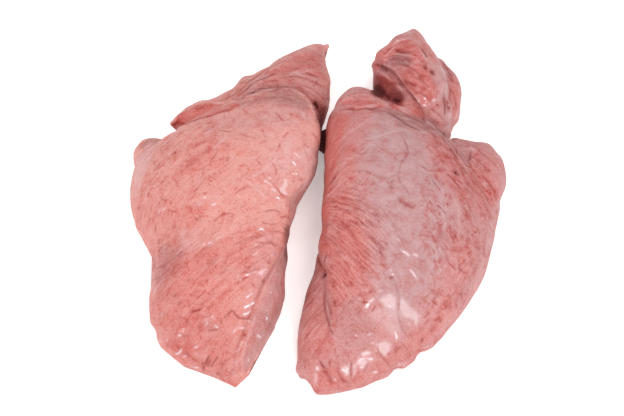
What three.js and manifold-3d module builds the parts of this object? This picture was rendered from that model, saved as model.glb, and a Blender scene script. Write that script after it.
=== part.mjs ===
// A pair of fresh lungs, joined at their root, lying on the ventral side with the backs up.
// Millimetres, +Z up. +Y runs from the base of the lungs to their tips, -X is the left lung.
import * as THREE from "three";
import { mergeVertices } from "three/addons/utils/BufferGeometryUtils.js";
import Module from "manifold-3d";

const wasm = await Module();
wasm.setup();

// Driving dimensions.
const CONTACT_GAP = 0.35; // left where the root tissue meets the left lung
const FLAT_DEPTH = 0.8; // how much of a lobe's rounded underside the table flattens
const SWELL_HEIGHT = 0.8; // height of the broad, soft unevenness of the backs
const SWELL_LENGTH = 46; // distance between two of its humps
const EDGE_CROWDING = 0.4; // how much closer a section's points lie at its edges, of 1
const TISSUE = { color: 0xdc9890, roughness: 0.38, metalness: 0 };

// A lobe is a row of sections, each in a plane of constant Y. The section runs over a crest and
// falls to a left and a right edge, where it turns under. The columns of a row are
// [y, left edge x, right edge x, crest x, crest z, left edge z, right edge z].
// taper is how a side falls from crest to edge: 1 is a quarter ellipse, less is boxier, and
// more is a wedge. under says the same of the side below the edge, and base is its lowest z.
const LEFT_LOBES = {
  back: {
    taper: [1.3, 0.62],
    under: [0.5, 0.8],
    base: 0,
    rings: 40,
    around: 36,
    rows: [
      [87, -38, -26, -32, 24, 20, 20],
      [85, -50, -20, -36, 34, 22, 28],
      [78, -64, -14, -40, 42, 22, 33],
      [67, -81, -8, -44, 48, 19, 36],
      [56, -101, -2, -47, 52, 15, 38],
      [46, -119, 0, -49, 55, 12, 38],
      [37, -131, 0, -51, 56, 11, 38],
      [24, -135, -1, -52, 57, 10, 38],
      [7, -136, -4, -54, 58, 9, 38],
      [-13, -133, -9, -56, 57, 9, 38],
      [-33, -125, -17, -60, 55, 9, 38],
      [-54, -117, -22, -62, 51, 9, 37],
      [-76, -115, -29, -68, 47, 9, 35],
      [-98, -117, -38, -74, 41, 8, 31],
      [-118, -110, -47, -78, 34, 7, 25],
      [-134, -97, -54, -76, 26, 6, 18],
      [-146, -78, -57, -68, 17, 5, 11],
      [-152, -63, -57, -60, 9, 5, 6],
    ],
  },
  medial: {
    taper: [1, 0.7],
    under: [0.5, 0.5],
    base: 0,
    rings: 20,
    around: 20,
    rows: [
      [-12, -44, -30, -37, 12, 6, 6],
      [-25, -54, -26, -38, 24, 8, 10],
      [-45, -60, -24, -40, 32, 8, 12],
      [-72, -60, -24, -42, 32, 8, 12],
      [-92, -62, -24, -44, 29, 7, 11],
      [-112, -64, -30, -47, 24, 6, 9],
      [-127, -66, -38, -51, 19, 6, 8],
      [-142, -66, -47, -54, 13, 5, 6],
      [-149, -62, -51, -56, 9, 5, 5],
      [-153, -60, -54, -57, 6, 5, 5],
    ],
  },
  cranial: {
    taper: [1, 0.9],
    under: [1.1, 0.6],
    base: 0,
    rings: 26,
    around: 28,
    rows: [
      [158, 1, 7, 4, 10, 8, 8],
      [155, -8, 6, -1, 15, 8, 9],
      [145, -21, 4, -8, 20, 9, 10],
      [134, -33, 5, -14, 25, 10, 12],
      [123, -45, 7, -20, 28, 12, 13],
      [113, -60, 9, -28, 32, 14, 14],
      [100, -72, 9, -36, 34, 16, 14],
      [87, -89, 7, -44, 35, 18, 14],
      [74, -104, 4, -48, 35, 19, 14],
      [66, -111, 2, -50, 35, 21, 14],
      [61, -108, 1, -50, 33, 21, 14],
      [58, -98, -2, -48, 29, 20, 14],
      [56, -80, -12, -46, 24, 18, 14],
    ],
  },
  tab: {
    taper: [0.9, 0.9],
    under: [0.6, 0.6],
    base: 0,
    rings: 10,
    around: 14,
    rows: [
      [55, -131, -124, -127, 12, 8, 8],
      [52, -134, -117, -126, 17, 9, 8],
      [44, -136, -112, -125, 19, 9, 8],
      [36, -132, -110, -122, 16, 8, 8],
      [28, -124, -114, -119, 10, 7, 7],
    ],
  },
};

const RIGHT_LOBES = {
  back: {
    taper: [0.62, 1.35],
    under: [0.8, 0.5],
    base: 0,
    rings: 40,
    around: 36,
    rows: [
      [88, 26, 32, 28, 24, 20, 20],
      [85, 21, 40, 30, 31, 22, 22],
      [78, 16, 49, 32, 37, 26, 24],
      [68, 10, 64, 35, 43, 30, 26],
      [54, 6, 82, 40, 48, 32, 24],
      [36, 4, 102, 46, 54, 33, 18],
      [16, 3, 117, 50, 58, 33, 12],
      [-6, 2, 124, 54, 60, 33, 9],
      [-28, 1, 124, 56, 60, 33, 8],
      [-48, 0, 119, 56, 58, 33, 8],
      [-68, -1, 113, 54, 55, 32, 8],
      [-88, 2, 102, 50, 50, 31, 7],
      [-106, 5, 90, 46, 43, 28, 7],
      [-118, 6, 79, 41, 37, 22, 6],
      [-130, 0, 68, 34, 31, 13, 6],
      [-141, -11, 54, 25, 23, 7, 5],
      [-149, -14, 43, 18, 16, 5, 5],
      [-156, -8, 28, 12, 9, 4, 4],
      [-160, 3, 15, 9, 6, 4, 4],
    ],
  },
  medial: {
    taper: [0.7, 1],
    under: [0.5, 0.5],
    base: 0,
    rings: 20,
    around: 20,
    rows: [
      [-44, 6, 14, 10, 12, 6, 6],
      [-54, -2, 30, 12, 24, 7, 8],
      [-72, -7, 40, 14, 30, 8, 8],
      [-94, -11, 42, 10, 27, 8, 8],
      [-110, -14, 38, 8, 27, 7, 8],
      [-122, -15, 30, 4, 26, 7, 7],
      [-134, -15, 20, 0, 21, 6, 6],
      [-145, -14, 12, -3, 13, 5, 5],
      [-151, -9, 4, -3, 8, 5, 5],
    ],
  },
  middle: {
    taper: [1, 0.9],
    under: [0.5, 0.6],
    base: 0,
    rings: 14,
    around: 18,
    rows: [
      [50, 100, 114, 107, 14, 8, 8],
      [47, 90, 124, 109, 24, 10, 9],
      [39, 84, 133, 111, 31, 10, 10],
      [26, 84, 138, 113, 33, 10, 10],
      [8, 88, 134, 114, 31, 10, 9],
      [-12, 96, 128, 114, 25, 8, 8],
      [-30, 104, 123, 114, 16, 8, 7],
      [-38, 110, 118, 114, 10, 7, 7],
    ],
  },
  cap: {
    taper: [0.8, 0.9],
    under: [0.8, 0.8],
    base: 12,
    rings: 10,
    around: 16,
    rows: [
      [90, 26, 32, 28, 30, 26, 26],
      [86, 20, 40, 29, 37, 28, 28],
      [78, 15, 49, 30, 42, 30, 28],
      [72, 11, 52, 30, 45, 31, 28],
      [67, 10, 52, 31, 46, 31, 28],
      [64, 16, 44, 31, 41, 31, 30],
    ],
  },
  core: {
    taper: [0.8, 0.9],
    under: [0.7, 0.7],
    base: 0,
    rings: 12,
    around: 16,
    rows: [
      [130, 46, 56, 52, 10, 8, 8],
      [124, 42, 70, 54, 16, 9, 8],
      [110, 41, 84, 56, 19, 9, 8],
      [94, 42, 96, 60, 18, 9, 8],
      [78, 48, 98, 66, 18, 9, 8],
      [62, 58, 98, 74, 18, 9, 8],
      [52, 66, 90, 78, 12, 9, 8],
    ],
  },
  flap: {
    taper: [0.7, 1],
    under: [1.2, 0.9],
    base: 6,
    rings: 24,
    around: 24,
    rows: [
      [163, 69, 75, 72, 20, 16, 14],
      [158, 62, 79, 71, 28, 18, 14],
      [148, 56, 83, 70, 35, 22, 15],
      [137, 50, 87, 69, 40, 27, 16],
      [127, 44, 91, 70, 43, 31, 17],
      [119, 39, 94, 71, 44, 33, 18],
      [113, 44, 96, 73, 44, 33, 18],
      [106, 53, 98, 76, 44, 32, 18],
      [97, 60, 100, 79, 43, 32, 17],
      [85, 66, 101, 82, 41, 31, 16],
      [73, 70, 100, 85, 37, 29, 15],
      [60, 77, 96, 87, 31, 26, 14],
      [52, 83, 90, 87, 24, 20, 14],
    ],
  },
  shoulder: {
    taper: [1, 0.8],
    under: [0.7, 0.6],
    base: 0,
    rings: 14,
    around: 18,
    rows: [
      [135, 87, 93, 90, 16, 10, 10],
      [130, 82, 99, 91, 23, 11, 11],
      [118, 80, 105, 92, 27, 12, 12],
      [101, 80, 108, 93, 28, 12, 13],
      [84, 80, 107, 93, 27, 12, 12],
      [72, 82, 102, 92, 23, 11, 10],
      [64, 86, 95, 90, 14, 9, 9],
    ],
  },
  root: {
    taper: [1, 1],
    under: [0.7, 0.7],
    base: 1,
    rings: 10,
    around: 12,
    rows: [
      [74, 4, 10, 7, 12, 9, 9],
      [70, -2, 16, 7, 16, 10, 9],
      [62, -12, 20, 6, 19, 11, 9],
      [54, -10, 20, 6, 19, 11, 9],
      [46, -2, 16, 7, 16, 10, 9],
      [42, 4, 10, 7, 12, 9, 9],
    ],
  },
};

// Catmull-Rom interpolation of all columns of a table of rows. at runs from 0 to 1.
function rowAt(rows, at) {
  const place = at * (rows.length - 1);
  const i = Math.min(Math.floor(place), rows.length - 2);
  const t = place - i;
  const [a, b, c, d] = [i - 1, i, i + 1, i + 2].map(
    (k) => rows[Math.min(Math.max(k, 0), rows.length - 1)],
  );
  return b.map(
    (_, k) =>
      b[k] +
      0.5 *
        t *
        (c[k] -
          a[k] +
          t *
            (2 * a[k] -
              5 * b[k] +
              4 * c[k] -
              d[k] +
              t * (3 * (b[k] - c[k]) + d[k] - a[k]))),
  );
}

// A point of a section at an angle in turns: 0 is the right edge, 0.25 the crest, 0.5 the left
// edge and 0.75 the middle of the underside. The table flattens what would reach below it.
function sectionPoint(lobe, row, turns) {
  const [y, left, right, crestX, crestZ, leftZ, rightZ] = row;
  const angle =
    2 * Math.PI * turns - 0.5 * EDGE_CROWDING * Math.sin(4 * Math.PI * turns);
  const across = Math.cos(angle);
  const rise = Math.sin(angle);
  const side = across < 0 ? 0 : 1;
  const edgeX = side ? right : left;
  const edgeZ = side ? rightZ : leftZ;
  const x = crestX + Math.abs(across) * (edgeX - crestX);
  if (rise >= 0)
    return [x, y, edgeZ + (crestZ - edgeZ) * rise ** lobe.taper[side]];
  const low = lobe.base - FLAT_DEPTH;
  const z = edgeZ - (edgeZ - low) * (-rise) ** lobe.under[side];
  return [x, y, Math.max(z, lobe.base)];
}

// Soft humps of the tissue, which grow with the height over the table.
function swell([x, y, z]) {
  const k = (2 * Math.PI) / SWELL_LENGTH;
  const wave =
    Math.sin(k * x + 0.7 * Math.sin(0.6 * k * y)) *
      Math.cos(0.8 * k * y + 1.3) +
    0.5 * Math.sin(1.7 * k * (x + y) + 2.1);
  return [x, y, z + SWELL_HEIGHT * wave * Math.min(1, z / 30) ** 2];
}

// A lobe as a closed geometry: rings of section points, closed by a pole at each end.
function lobeGeometry(lobe) {
  const { rings, around, rows } = lobe;
  const points = [];
  for (let i = 0; i < rings; i++) {
    const row = rowAt(rows, i / (rings - 1));
    for (let j = 0; j < around; j++)
      points.push(swell(sectionPoint(lobe, row, j / around)));
  }
  const poles = [0, rings - 1].map((i) => {
    const middle = [0, 0, 0];
    for (let j = 0; j < around; j++)
      points[i * around + j].forEach((v, k) => (middle[k] += v / around));
    return points.push(middle) - 1;
  });
  const faces = [];
  for (let j = 0; j < around; j++) {
    const next = (j + 1) % around;
    faces.push([poles[0], next, j]);
    for (let i = 0; i < rings - 1; i++) {
      const near = i * around;
      const far = near + around;
      faces.push([near + j, near + next, far + j]);
      faces.push([near + next, far + next, far + j]);
    }
    const last = (rings - 1) * around;
    faces.push([last + j, last + next, poles[1]]);
  }
  const geometry = new THREE.BufferGeometry();
  geometry.setAttribute(
    "position",
    new THREE.Float32BufferAttribute(points.flat(), 3),
  );
  geometry.setIndex(faces.flat());
  return geometry;
}

function solidOf(geometry) {
  const merged = mergeVertices(geometry, 1e-4);
  return new wasm.Manifold(
    new wasm.Mesh({
      numProp: 3,
      vertProperties: new Float32Array(merged.attributes.position.array),
      triVerts: new Uint32Array(merged.index.array),
    }),
  );
}

function geometryOf(solid) {
  const { vertProperties, triVerts } = solid.getMesh();
  const geometry = new THREE.BufferGeometry();
  geometry.setAttribute(
    "position",
    new THREE.BufferAttribute(vertProperties, 3),
  );
  geometry.setIndex(new THREE.BufferAttribute(triVerts, 1));
  geometry.computeVertexNormals();
  return geometry;
}

// All lobes of one lung, grown together into one body.
function lungSolid(lobes) {
  return Object.values(lobes)
    .map((lobe) => solidOf(lobeGeometry(lobe)))
    .reduce((sum, solid) => sum.add(solid));
}

function lungMesh(name, solid) {
  const mesh = new THREE.Mesh(
    geometryOf(solid),
    new THREE.MeshStandardMaterial(TISSUE),
  );
  mesh.name = name;
  return mesh;
}

const leftSolid = lungSolid(LEFT_LOBES);
const rightSolid = lungSolid(RIGHT_LOBES)
  .subtract(leftSolid)
  .subtract(leftSolid.translate([CONTACT_GAP, 0, 0]));

const lungs = new THREE.Group();
lungs.add(
  lungMesh("left_lung", leftSolid),
  lungMesh("right_lung", rightSolid),
);

// The origin is under the middle of the pair, on the table.
const box = new THREE.Box3().setFromObject(lungs);
const middle = box.getCenter(new THREE.Vector3());
lungs.position.set(-middle.x, -middle.y, -box.min.z);

export default lungs;
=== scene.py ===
"""A pair of fresh lungs lying with their backs up, with a stage and a camera, as a Blender add-on."""

import itertools
import math
from collections import namedtuple

import bpy
import numpy as np
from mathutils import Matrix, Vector
from mathutils.bvhtree import BVHTree


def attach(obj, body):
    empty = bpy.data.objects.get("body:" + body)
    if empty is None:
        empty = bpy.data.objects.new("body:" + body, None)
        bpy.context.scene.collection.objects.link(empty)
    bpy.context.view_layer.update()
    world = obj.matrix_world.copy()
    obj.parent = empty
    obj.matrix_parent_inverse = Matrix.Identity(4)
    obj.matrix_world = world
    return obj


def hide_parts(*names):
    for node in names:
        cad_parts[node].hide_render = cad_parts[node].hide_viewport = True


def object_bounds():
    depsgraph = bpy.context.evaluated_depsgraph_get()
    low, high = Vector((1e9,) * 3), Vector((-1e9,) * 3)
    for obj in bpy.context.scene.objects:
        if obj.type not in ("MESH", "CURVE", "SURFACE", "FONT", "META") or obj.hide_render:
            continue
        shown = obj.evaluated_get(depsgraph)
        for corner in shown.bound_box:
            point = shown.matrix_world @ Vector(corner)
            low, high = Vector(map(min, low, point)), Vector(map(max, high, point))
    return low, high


bl_info = {
    "name": "Fresh lungs",
    "version": (1, 0, 0),
    "blender": (4, 5, 0),
    "location": "View3D > Sidebar > Lungs",
    "description": "Builds a pair of fresh lungs, their wet tissue and a plain studio stage",
    "category": "Object",
}

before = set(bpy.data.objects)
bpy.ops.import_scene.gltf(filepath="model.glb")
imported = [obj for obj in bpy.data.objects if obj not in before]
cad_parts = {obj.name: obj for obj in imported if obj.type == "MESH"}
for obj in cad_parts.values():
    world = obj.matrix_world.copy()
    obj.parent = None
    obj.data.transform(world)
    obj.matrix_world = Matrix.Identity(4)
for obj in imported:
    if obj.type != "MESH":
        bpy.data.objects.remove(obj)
CAD_LOW, CAD_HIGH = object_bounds()

MM = 0.001
TINY = 1e-12

# The camera sees the photograph's frame. Outlines and marks below are given in its pixels.
FRAME_WIDTH = 624
FRAME_HEIGHT = 416
CAMERA_ELEVATION = math.radians(50)
CAMERA_DISTANCE = 1.1
PIXELS_PER_METRE = 1390
SENSOR_WIDTH = 36
TARGET_OFFSET = Vector((-0.0062, -0.0015, 0))

# Lights, all aimed at the object: the wide softbox, then the small lamps with the direction, the
# size in metres and the share of the lamps' radiance of each.
LIGHT_DISTANCE = 1.6
SOFTBOX_DIRECTION = (0.22, -0.28, 0.93)
SOFTBOX_SIZE = 0.8
LAMPS = [
    ((0.22, -0.78, 0.58), 0.5, 0.62),
    ((0.8, -0.12, 0.58), 0.5, 0.25),
    ((0.72, -0.25, 0.64), 0.15, 1.0),
    ((0.5, 0.42, 0.75), 0.25, 1.25),
    ((-0.3, -0.72, 0.62), 0.2, 1.0),
    ((-0.85, -0.1, 0.52), 0.5, 0.66),
    ((-0.37, 0, 0.93), 0.28, 0.9),
]

# The grid of a lobe: its sections, the points round each one, how closely those crowd at its two
# edges, and how deep in millimetres its round underside is cut flat.
LOFT_RINGS = 150
LOFT_AROUND = 140
EDGE_CROWDING = 0.4
FLAT_DEPTH = 0.8

# A finished lung: the rounds that soften the creases between its lobes, and the most triangles
# that it keeps. Its hidden underside gives them up first, by a weight.
SOFTENING_ROUNDS = 10
MOST_TRIANGLES = 195000
UNDERSIDE_WEIGHT = 1000.0

# Swellings of the tissue: size and height of each kind in millimetres. They grow with the height
# over the table, and are full from the rise on.
SWELLINGS = ((38, 0.9), (14, 0.5), (7, 0.3), (3.5, 0.12))
SWELLING_RISE = 25

# Fibres drawn out of noise: for the fine ones, the broad ones and the folds, the size of the noise
# and the reach along the fibre in millimetres, and the samples in that reach.
FIBRE_KINDS = ((1.0, 2.4, 5), (3.2, 8, 6), (1.4, 5, 9))
FIBRE_RISE = 12
FIBRE_PATCH_SIZE = 13
FIBRE_PATCH_SEED = 4

# How far a comb stroke's pull reaches in millimetres. Guides: the most in one place, the fibres
# from one to the next, and the points along each.
COMB_REACH = 8
MOST_GUIDES = 8
FIBRES_PER_GUIDE = 12
GUIDE_POINTS = 14

# A zone fades out where the skin turns from the camera, over these cosines. Its border wavers by
# noise: size in millimetres, most pixels, and what each of the two directions adds to the seed.
FACING = (-0.1, 0.15)
WAVER_SIZE = 9
MOST_WAVER = 4
WAVER_SEEDS = (50, 60)

# A mark: its pixels from point to point, the widths that it reaches to each side, the share that
# it starts with at an end and how steeply it rises from there, and the mean and spread of the
# noise that presses it in, with the noise's size in millimetres and seed.
MARK_STEP = 1.5
MARK_REACH = 4
MARK_END = 0.35
MARK_RISE = 4
PRESS_MEAN = 0.9
PRESS_SPREAD = 0.4
PRESS_SIZE = 5
PRESS_SEED = 77

# The hash behind the noise: a large prime for each axis and for the seed, and one that scrambles.
AXIS_PRIMES = (73856093, 19349663, 83492791)
SEED_PRIME = 7919
SCRAMBLER = 1274126177

# Painted shade on the root between the lungs, where they shadow each other: two corners in
# millimetres, strength, and where the shade of the box fades, as shares of its half size.
ROOT_BOX = ((-13, 40, 0), (9, 66, 24))
ROOT_SHADE_STRENGTH = 0.9
ROOT_FADE = (0.9, 1.15)

# Patterns of the material: features per metre, detail and roughness. The bend that most of them
# share has features per metre and a reach in metres.
BEND = (70, 0.012)
CLOUD = (48, 3)
BLOTCH = (150, 4, 0.62)
SPECK = (480, 3, 0.6)
DUST = (1500, 2, 0.6)
WIRES = (110, 3, 0.6)
CONTOUR = (45, 2)
STRAND_STRETCH = 90

# What is the same all over the tissue: gloss, the light that soaks in, and the depth of its bumps.
TISSUE_FINISH = {
    "Specular IOR Level": 0.25,
    "Coat Roughness": 0.07,
    "Subsurface Weight": 0.08,
    "Subsurface Radius": (1.0, 0.4, 0.3),
    "Subsurface Scale": 0.002,
}
BUMP = {"Strength": 0.6, "Distance": 0.0008}

FLOOR_FINISH = {
    "Base Color": (0.95, 0.95, 0.95, 1),
    "Roughness": 0.9,
    "Emission Color": (1.0, 1.0, 1.0, 1),
    "Emission Strength": 0.3,
}


def srgb(*channels):
    """A colour from the screen's 0 to 255 values, as Blender's linear one."""
    linear = [
        c / 255 / 12.92 if c / 255 <= 0.04045 else ((c / 255 + 0.055) / 1.055) ** 2.4
        for c in channels
    ]
    return (*linear, 1.0)


PINK = srgb(205, 142, 133)
ROSE = srgb(188, 131, 127)
FLUSH = srgb(190, 97, 89)
# The tissue's grey mauve, which in the broad zones also stands for painted sheen.
GREY_MAUVE_AND_SHEEN = srgb(175, 137, 138)
# A darker grey, which mostly paints shade in hollows, under folds and on sides away from the light.
DARKER_TONE_AND_SHADE = srgb(142, 94, 94)
# Pale lilac: the tissue's pale streaks and net, and painted sheen and reflections on wet patches.
PALE_TONE_AND_SHEEN = srgb(210, 180, 183)
# Near white: painted highlights of the glints, and of the wet patches' painted reflections.
PAINTED_HIGHLIGHT = srgb(246, 232, 236)
SHADE = srgb(70, 16, 14)
DEEP = srgb(240, 172, 165)
# Tint of blood in vessels and streaks, which in folds and pockets also paints shade.
BLOOD_AND_SHADE_TINT = srgb(204, 116, 108)

# A lobe is a row of sections, each in a plane of constant y. The section runs over a crest and
# falls to a left and a right edge, where it turns under. Columns, in millimetres:
# y, left edge x, right edge x, crest x, crest z, left edge z, right edge z.
# taper says how the top falls to each edge, under how it turns in below it, base is its lowest z.
Lobe = namedtuple("Lobe", "taper under base rows")

LEFT_LOBES = {
    "back": Lobe((1.3, 0.62), (0.5, 0.8), 0, [
        (87, -38, -26, -32, 24, 20, 20),
        (85, -50, -20, -36, 34, 22, 28),
        (78, -64, -14, -40, 42, 22, 33),
        (67, -81, -8, -44, 48, 19, 36),
        (56, -101, -2, -47, 52, 15, 38),
        (46, -119, 0, -49, 55, 12, 38),
        (37, -131, 0, -51, 56, 11, 38),
        (24, -135, -1, -52, 57, 10, 38),
        (7, -136, -4, -54, 58, 9, 38),
        (-13, -133, -9, -56, 57, 9, 38),
        (-33, -125, -17, -60, 55, 9, 38),
        (-54, -117, -22, -62, 51, 9, 39),
        (-76, -115, -29, -68, 47, 9, 38),
        (-98, -117, -39, -74, 41, 8, 35),
        (-118, -110, -47, -78, 34, 7, 29),
        (-134, -97, -53, -76, 26, 6, 22),
        (-146, -78, -56, -68, 17, 5, 13),
        (-152, -63, -57, -60, 9, 5, 6),
    ]),
    "medial": Lobe((1, 0.7), (0.5, 0.5), 0, [
        (-12, -44, -30, -37, 12, 6, 6),
        (-25, -54, -26, -38, 24, 8, 10),
        (-45, -60, -24, -37, 34, 8, 12),
        (-72, -60, -24, -37, 35, 8, 12),
        (-92, -62, -24, -40, 33, 7, 11),
        (-112, -64, -30, -45, 28, 6, 9),
        (-127, -66, -38, -51, 22, 6, 8),
        (-142, -66, -47, -54, 14, 5, 6),
        (-149, -62, -51, -56, 9, 5, 5),
        (-153, -60, -54, -57, 6, 5, 5),
    ]),
    "front": Lobe((1, 0.9), (1.1, 0.6), 0, [
        (158, 1, 7, 4, 10, 8, 8),
        (155, -8, 6, -1, 15, 8, 9),
        (145, -21, 4, -8, 20, 9, 10),
        (134, -33, 5, -14, 25, 10, 12),
        (123, -45, 7, -20, 28, 12, 13),
        (113, -60, 9, -28, 32, 14, 14),
        (100, -72, 9, -36, 34, 16, 14),
        (87, -89, 7, -44, 35, 18, 14),
        (74, -104, 4, -48, 35, 19, 14),
        (66, -111, 2, -50, 35, 21, 14),
        (61, -108, 1, -50, 33, 21, 14),
        (58, -98, -2, -48, 29, 20, 14),
        (56, -80, -12, -46, 24, 18, 14),
    ]),
    "tab": Lobe((0.9, 0.9), (0.6, 0.6), 0, [
        (56, -130, -114, -123, 13, 8, 9),
        (53, -134, -106, -121, 19, 9, 10),
        (44, -136, -100, -119, 22, 9, 10),
        (34, -135, -100, -117, 21, 8, 9),
        (24, -132, -106, -116, 15, 7, 8),
    ]),
    "tip": Lobe((1, 1), (1, 1), 3, [
        (161.5, 6.5, 8, 7.4, 8, 6, 6),
        (160, 4, 9, 7, 11, 7, 7),
        (157, 0, 8, 5, 12, 7, 7),
        (153, -4, 5, 1, 12, 7, 7),
    ]),
}

RIGHT_LOBES = {
    "back": Lobe((0.62, 1.35), (0.8, 0.5), 0, [
        (88, 26, 32, 28, 24, 20, 20),
        (85, 21, 40, 30, 31, 22, 22),
        (78, 16, 49, 32, 37, 26, 24),
        (68, 10, 64, 35, 43, 30, 26),
        (54, 6, 82, 40, 48, 32, 24),
        (36, 4, 102, 46, 54, 33, 18),
        (16, 3, 117, 50, 58, 33, 12),
        (-6, 2, 124, 54, 60, 33, 9),
        (-28, 1, 124, 56, 60, 33, 8),
        (-48, 0, 119, 56, 58, 33, 8),
        (-68, -1, 113, 54, 55, 32, 8),
        (-88, 2, 102, 50, 50, 31, 7),
        (-106, 5, 90, 46, 43, 28, 7),
        (-118, 6, 79, 41, 37, 22, 6),
        (-130, 0, 68, 34, 31, 13, 6),
        (-141, -11, 54, 25, 23, 7, 5),
        (-149, -14, 43, 18, 16, 5, 5),
        (-156, -8, 28, 12, 9, 4, 4),
        (-160, 3, 15, 9, 6, 4, 4),
    ]),
    "medial": Lobe((0.7, 1), (0.5, 0.5), 0, [
        (-44, 6, 14, 10, 12, 6, 6),
        (-54, -2, 30, 12, 24, 7, 8),
        (-72, -7, 40, 14, 30, 8, 8),
        (-94, -11, 42, 10, 27, 8, 8),
        (-110, -14, 38, 8, 27, 7, 8),
        (-122, -15, 30, 4, 26, 7, 7),
        (-134, -15, 20, 0, 21, 6, 6),
        (-145, -14, 12, -3, 13, 5, 5),
        (-151, -9, 4, -3, 8, 5, 5),
    ]),
    "middle": Lobe((1, 0.9), (0.5, 0.6), 0, [
        (50, 100, 114, 107, 14, 8, 8),
        (47, 90, 124, 109, 24, 10, 9),
        (39, 84, 133, 111, 31, 10, 10),
        (26, 84, 138, 113, 33, 10, 10),
        (8, 88, 134, 114, 31, 10, 9),
        (-12, 96, 128, 114, 25, 8, 8),
        (-30, 104, 123, 114, 16, 8, 7),
        (-38, 110, 118, 114, 10, 7, 7),
    ]),
    "cap": Lobe((0.8, 0.9), (0.8, 0.8), 12, [
        (90, 26, 32, 28, 30, 26, 26),
        (86, 20, 40, 29, 37, 28, 28),
        (78, 15, 49, 30, 42, 30, 28),
        (72, 11, 52, 30, 45, 31, 28),
        (67, 10, 52, 31, 46, 31, 28),
        (64, 16, 44, 31, 41, 31, 30),
    ]),
    "core": Lobe((0.8, 0.9), (0.7, 0.7), 0, [
        (130, 46, 56, 51, 12, 8, 8),
        (124, 42, 70, 50, 25, 9, 8),
        (115, 41, 84, 48, 31, 10, 8),
        (104, 42, 92, 53, 31, 12, 8),
        (94, 44, 96, 60, 31, 14, 8),
        (84, 46, 98, 64, 31, 16, 8),
        (74, 50, 98, 68, 30, 16, 8),
        (62, 58, 98, 76, 26, 12, 8),
        (52, 66, 90, 78, 18, 9, 8),
    ]),
    "flap": Lobe((0.7, 1), (1.2, 0.9), 6, [
        (163, 69, 75, 72, 20, 16, 14),
        (158, 62, 79, 71, 28, 18, 14),
        (148, 56, 83, 70, 35, 22, 15),
        (137, 50, 87, 69, 40, 27, 16),
        (127, 44, 91, 70, 43, 31, 17),
        (119, 39, 94, 71, 44, 33, 18),
        (113, 44, 96, 73, 44, 33, 18),
        (106, 53, 98, 76, 44, 32, 18),
        (97, 60, 100, 79, 43, 32, 17),
        (85, 66, 101, 82, 41, 31, 16),
        (73, 70, 100, 85, 37, 29, 15),
        (60, 77, 96, 87, 31, 26, 14),
        (52, 83, 90, 87, 24, 20, 14),
    ]),
    "shoulder": Lobe((1, 0.8), (0.7, 0.6), 0, [
        (135, 87, 93, 90, 16, 10, 10),
        (130, 82, 99, 91, 23, 11, 11),
        (118, 80, 105, 92, 27, 12, 12),
        (101, 80, 108, 93, 28, 12, 13),
        (84, 80, 107, 93, 27, 12, 12),
        (72, 82, 102, 92, 23, 11, 10),
        (64, 86, 95, 90, 14, 9, 9),
    ]),
    "root": Lobe((1, 1), (0.7, 0.7), 1, [
        (67, 7, 11, 9, 12, 9, 9),
        (63, 3, 14, 8, 17, 10, 9),
        (59, -3, 18, 8, 20, 10, 9),
        (56, -9, 20, 7, 20, 11, 9),
        (53, -3, 20, 7, 19, 10, 9),
        (49, 2, 18, 8, 18, 10, 9),
        (45, 4, 14, 9, 15, 10, 9),
        (41, 6, 12, 9, 12, 9, 9),
    ]),
}

# Bumps and hollows of the outline: pixel, reach and shift over the table, all in pixels.
LEFT_NUDGES = [
    ((250, 68), 9, (1, 6)), ((265, 66), 9, (2, 2.5)), ((230, 83), 11, (2, 6)),
    ((212, 95), 10, (0, 5)), ((172, 118), 5, (2, 2)), ((173, 129), 3.5, (2, 1)),
    ((168, 134), 7, (1.3, 1.3)), ((179, 112), 5, (1, 1)), ((221, 93), 7, (0, 4)),
    ((149, 141), 12, (1, 2)), ((138, 144), 5, (1, 1)), ((162, 139), 6, (0, 1.5)),
    ((137, 230), 6, (-1.5, 0)), ((151, 270), 12, (2, 0)), ((151, 260), 8, (2, 0)),
    ((147, 312), 14, (3, 0)), ((152, 333), 7, (3, -1)), ((200, 374), 16, (0, -3)),
    ((215, 381), 9, (0, -1.8)), ((245, 374), 8, (3, 1)), ((267, 342), 9, (-2, 0)),
    ((278, 321), 7, (-2, 0)), ((282, 309), 6, (-1.2, 0)), ((285, 250), 20, (2, 0)),
    ((286, 262), 6, (1, 0)), ((291, 225), 6, (-1, 0)), ((301, 202), 11, (-4.6, 0)),
    ((311, 178), 10, (3.5, 0)), ((317, 164), 7, (2.5, 0)), ((331, 91), 8, (-1.5, 0)),
    ((325, 58), 5, (1.5, 0)), ((326, 51), 4, (-1.8, 0)), ((327, 45), 5, (0, 1.5)),
]
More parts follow.
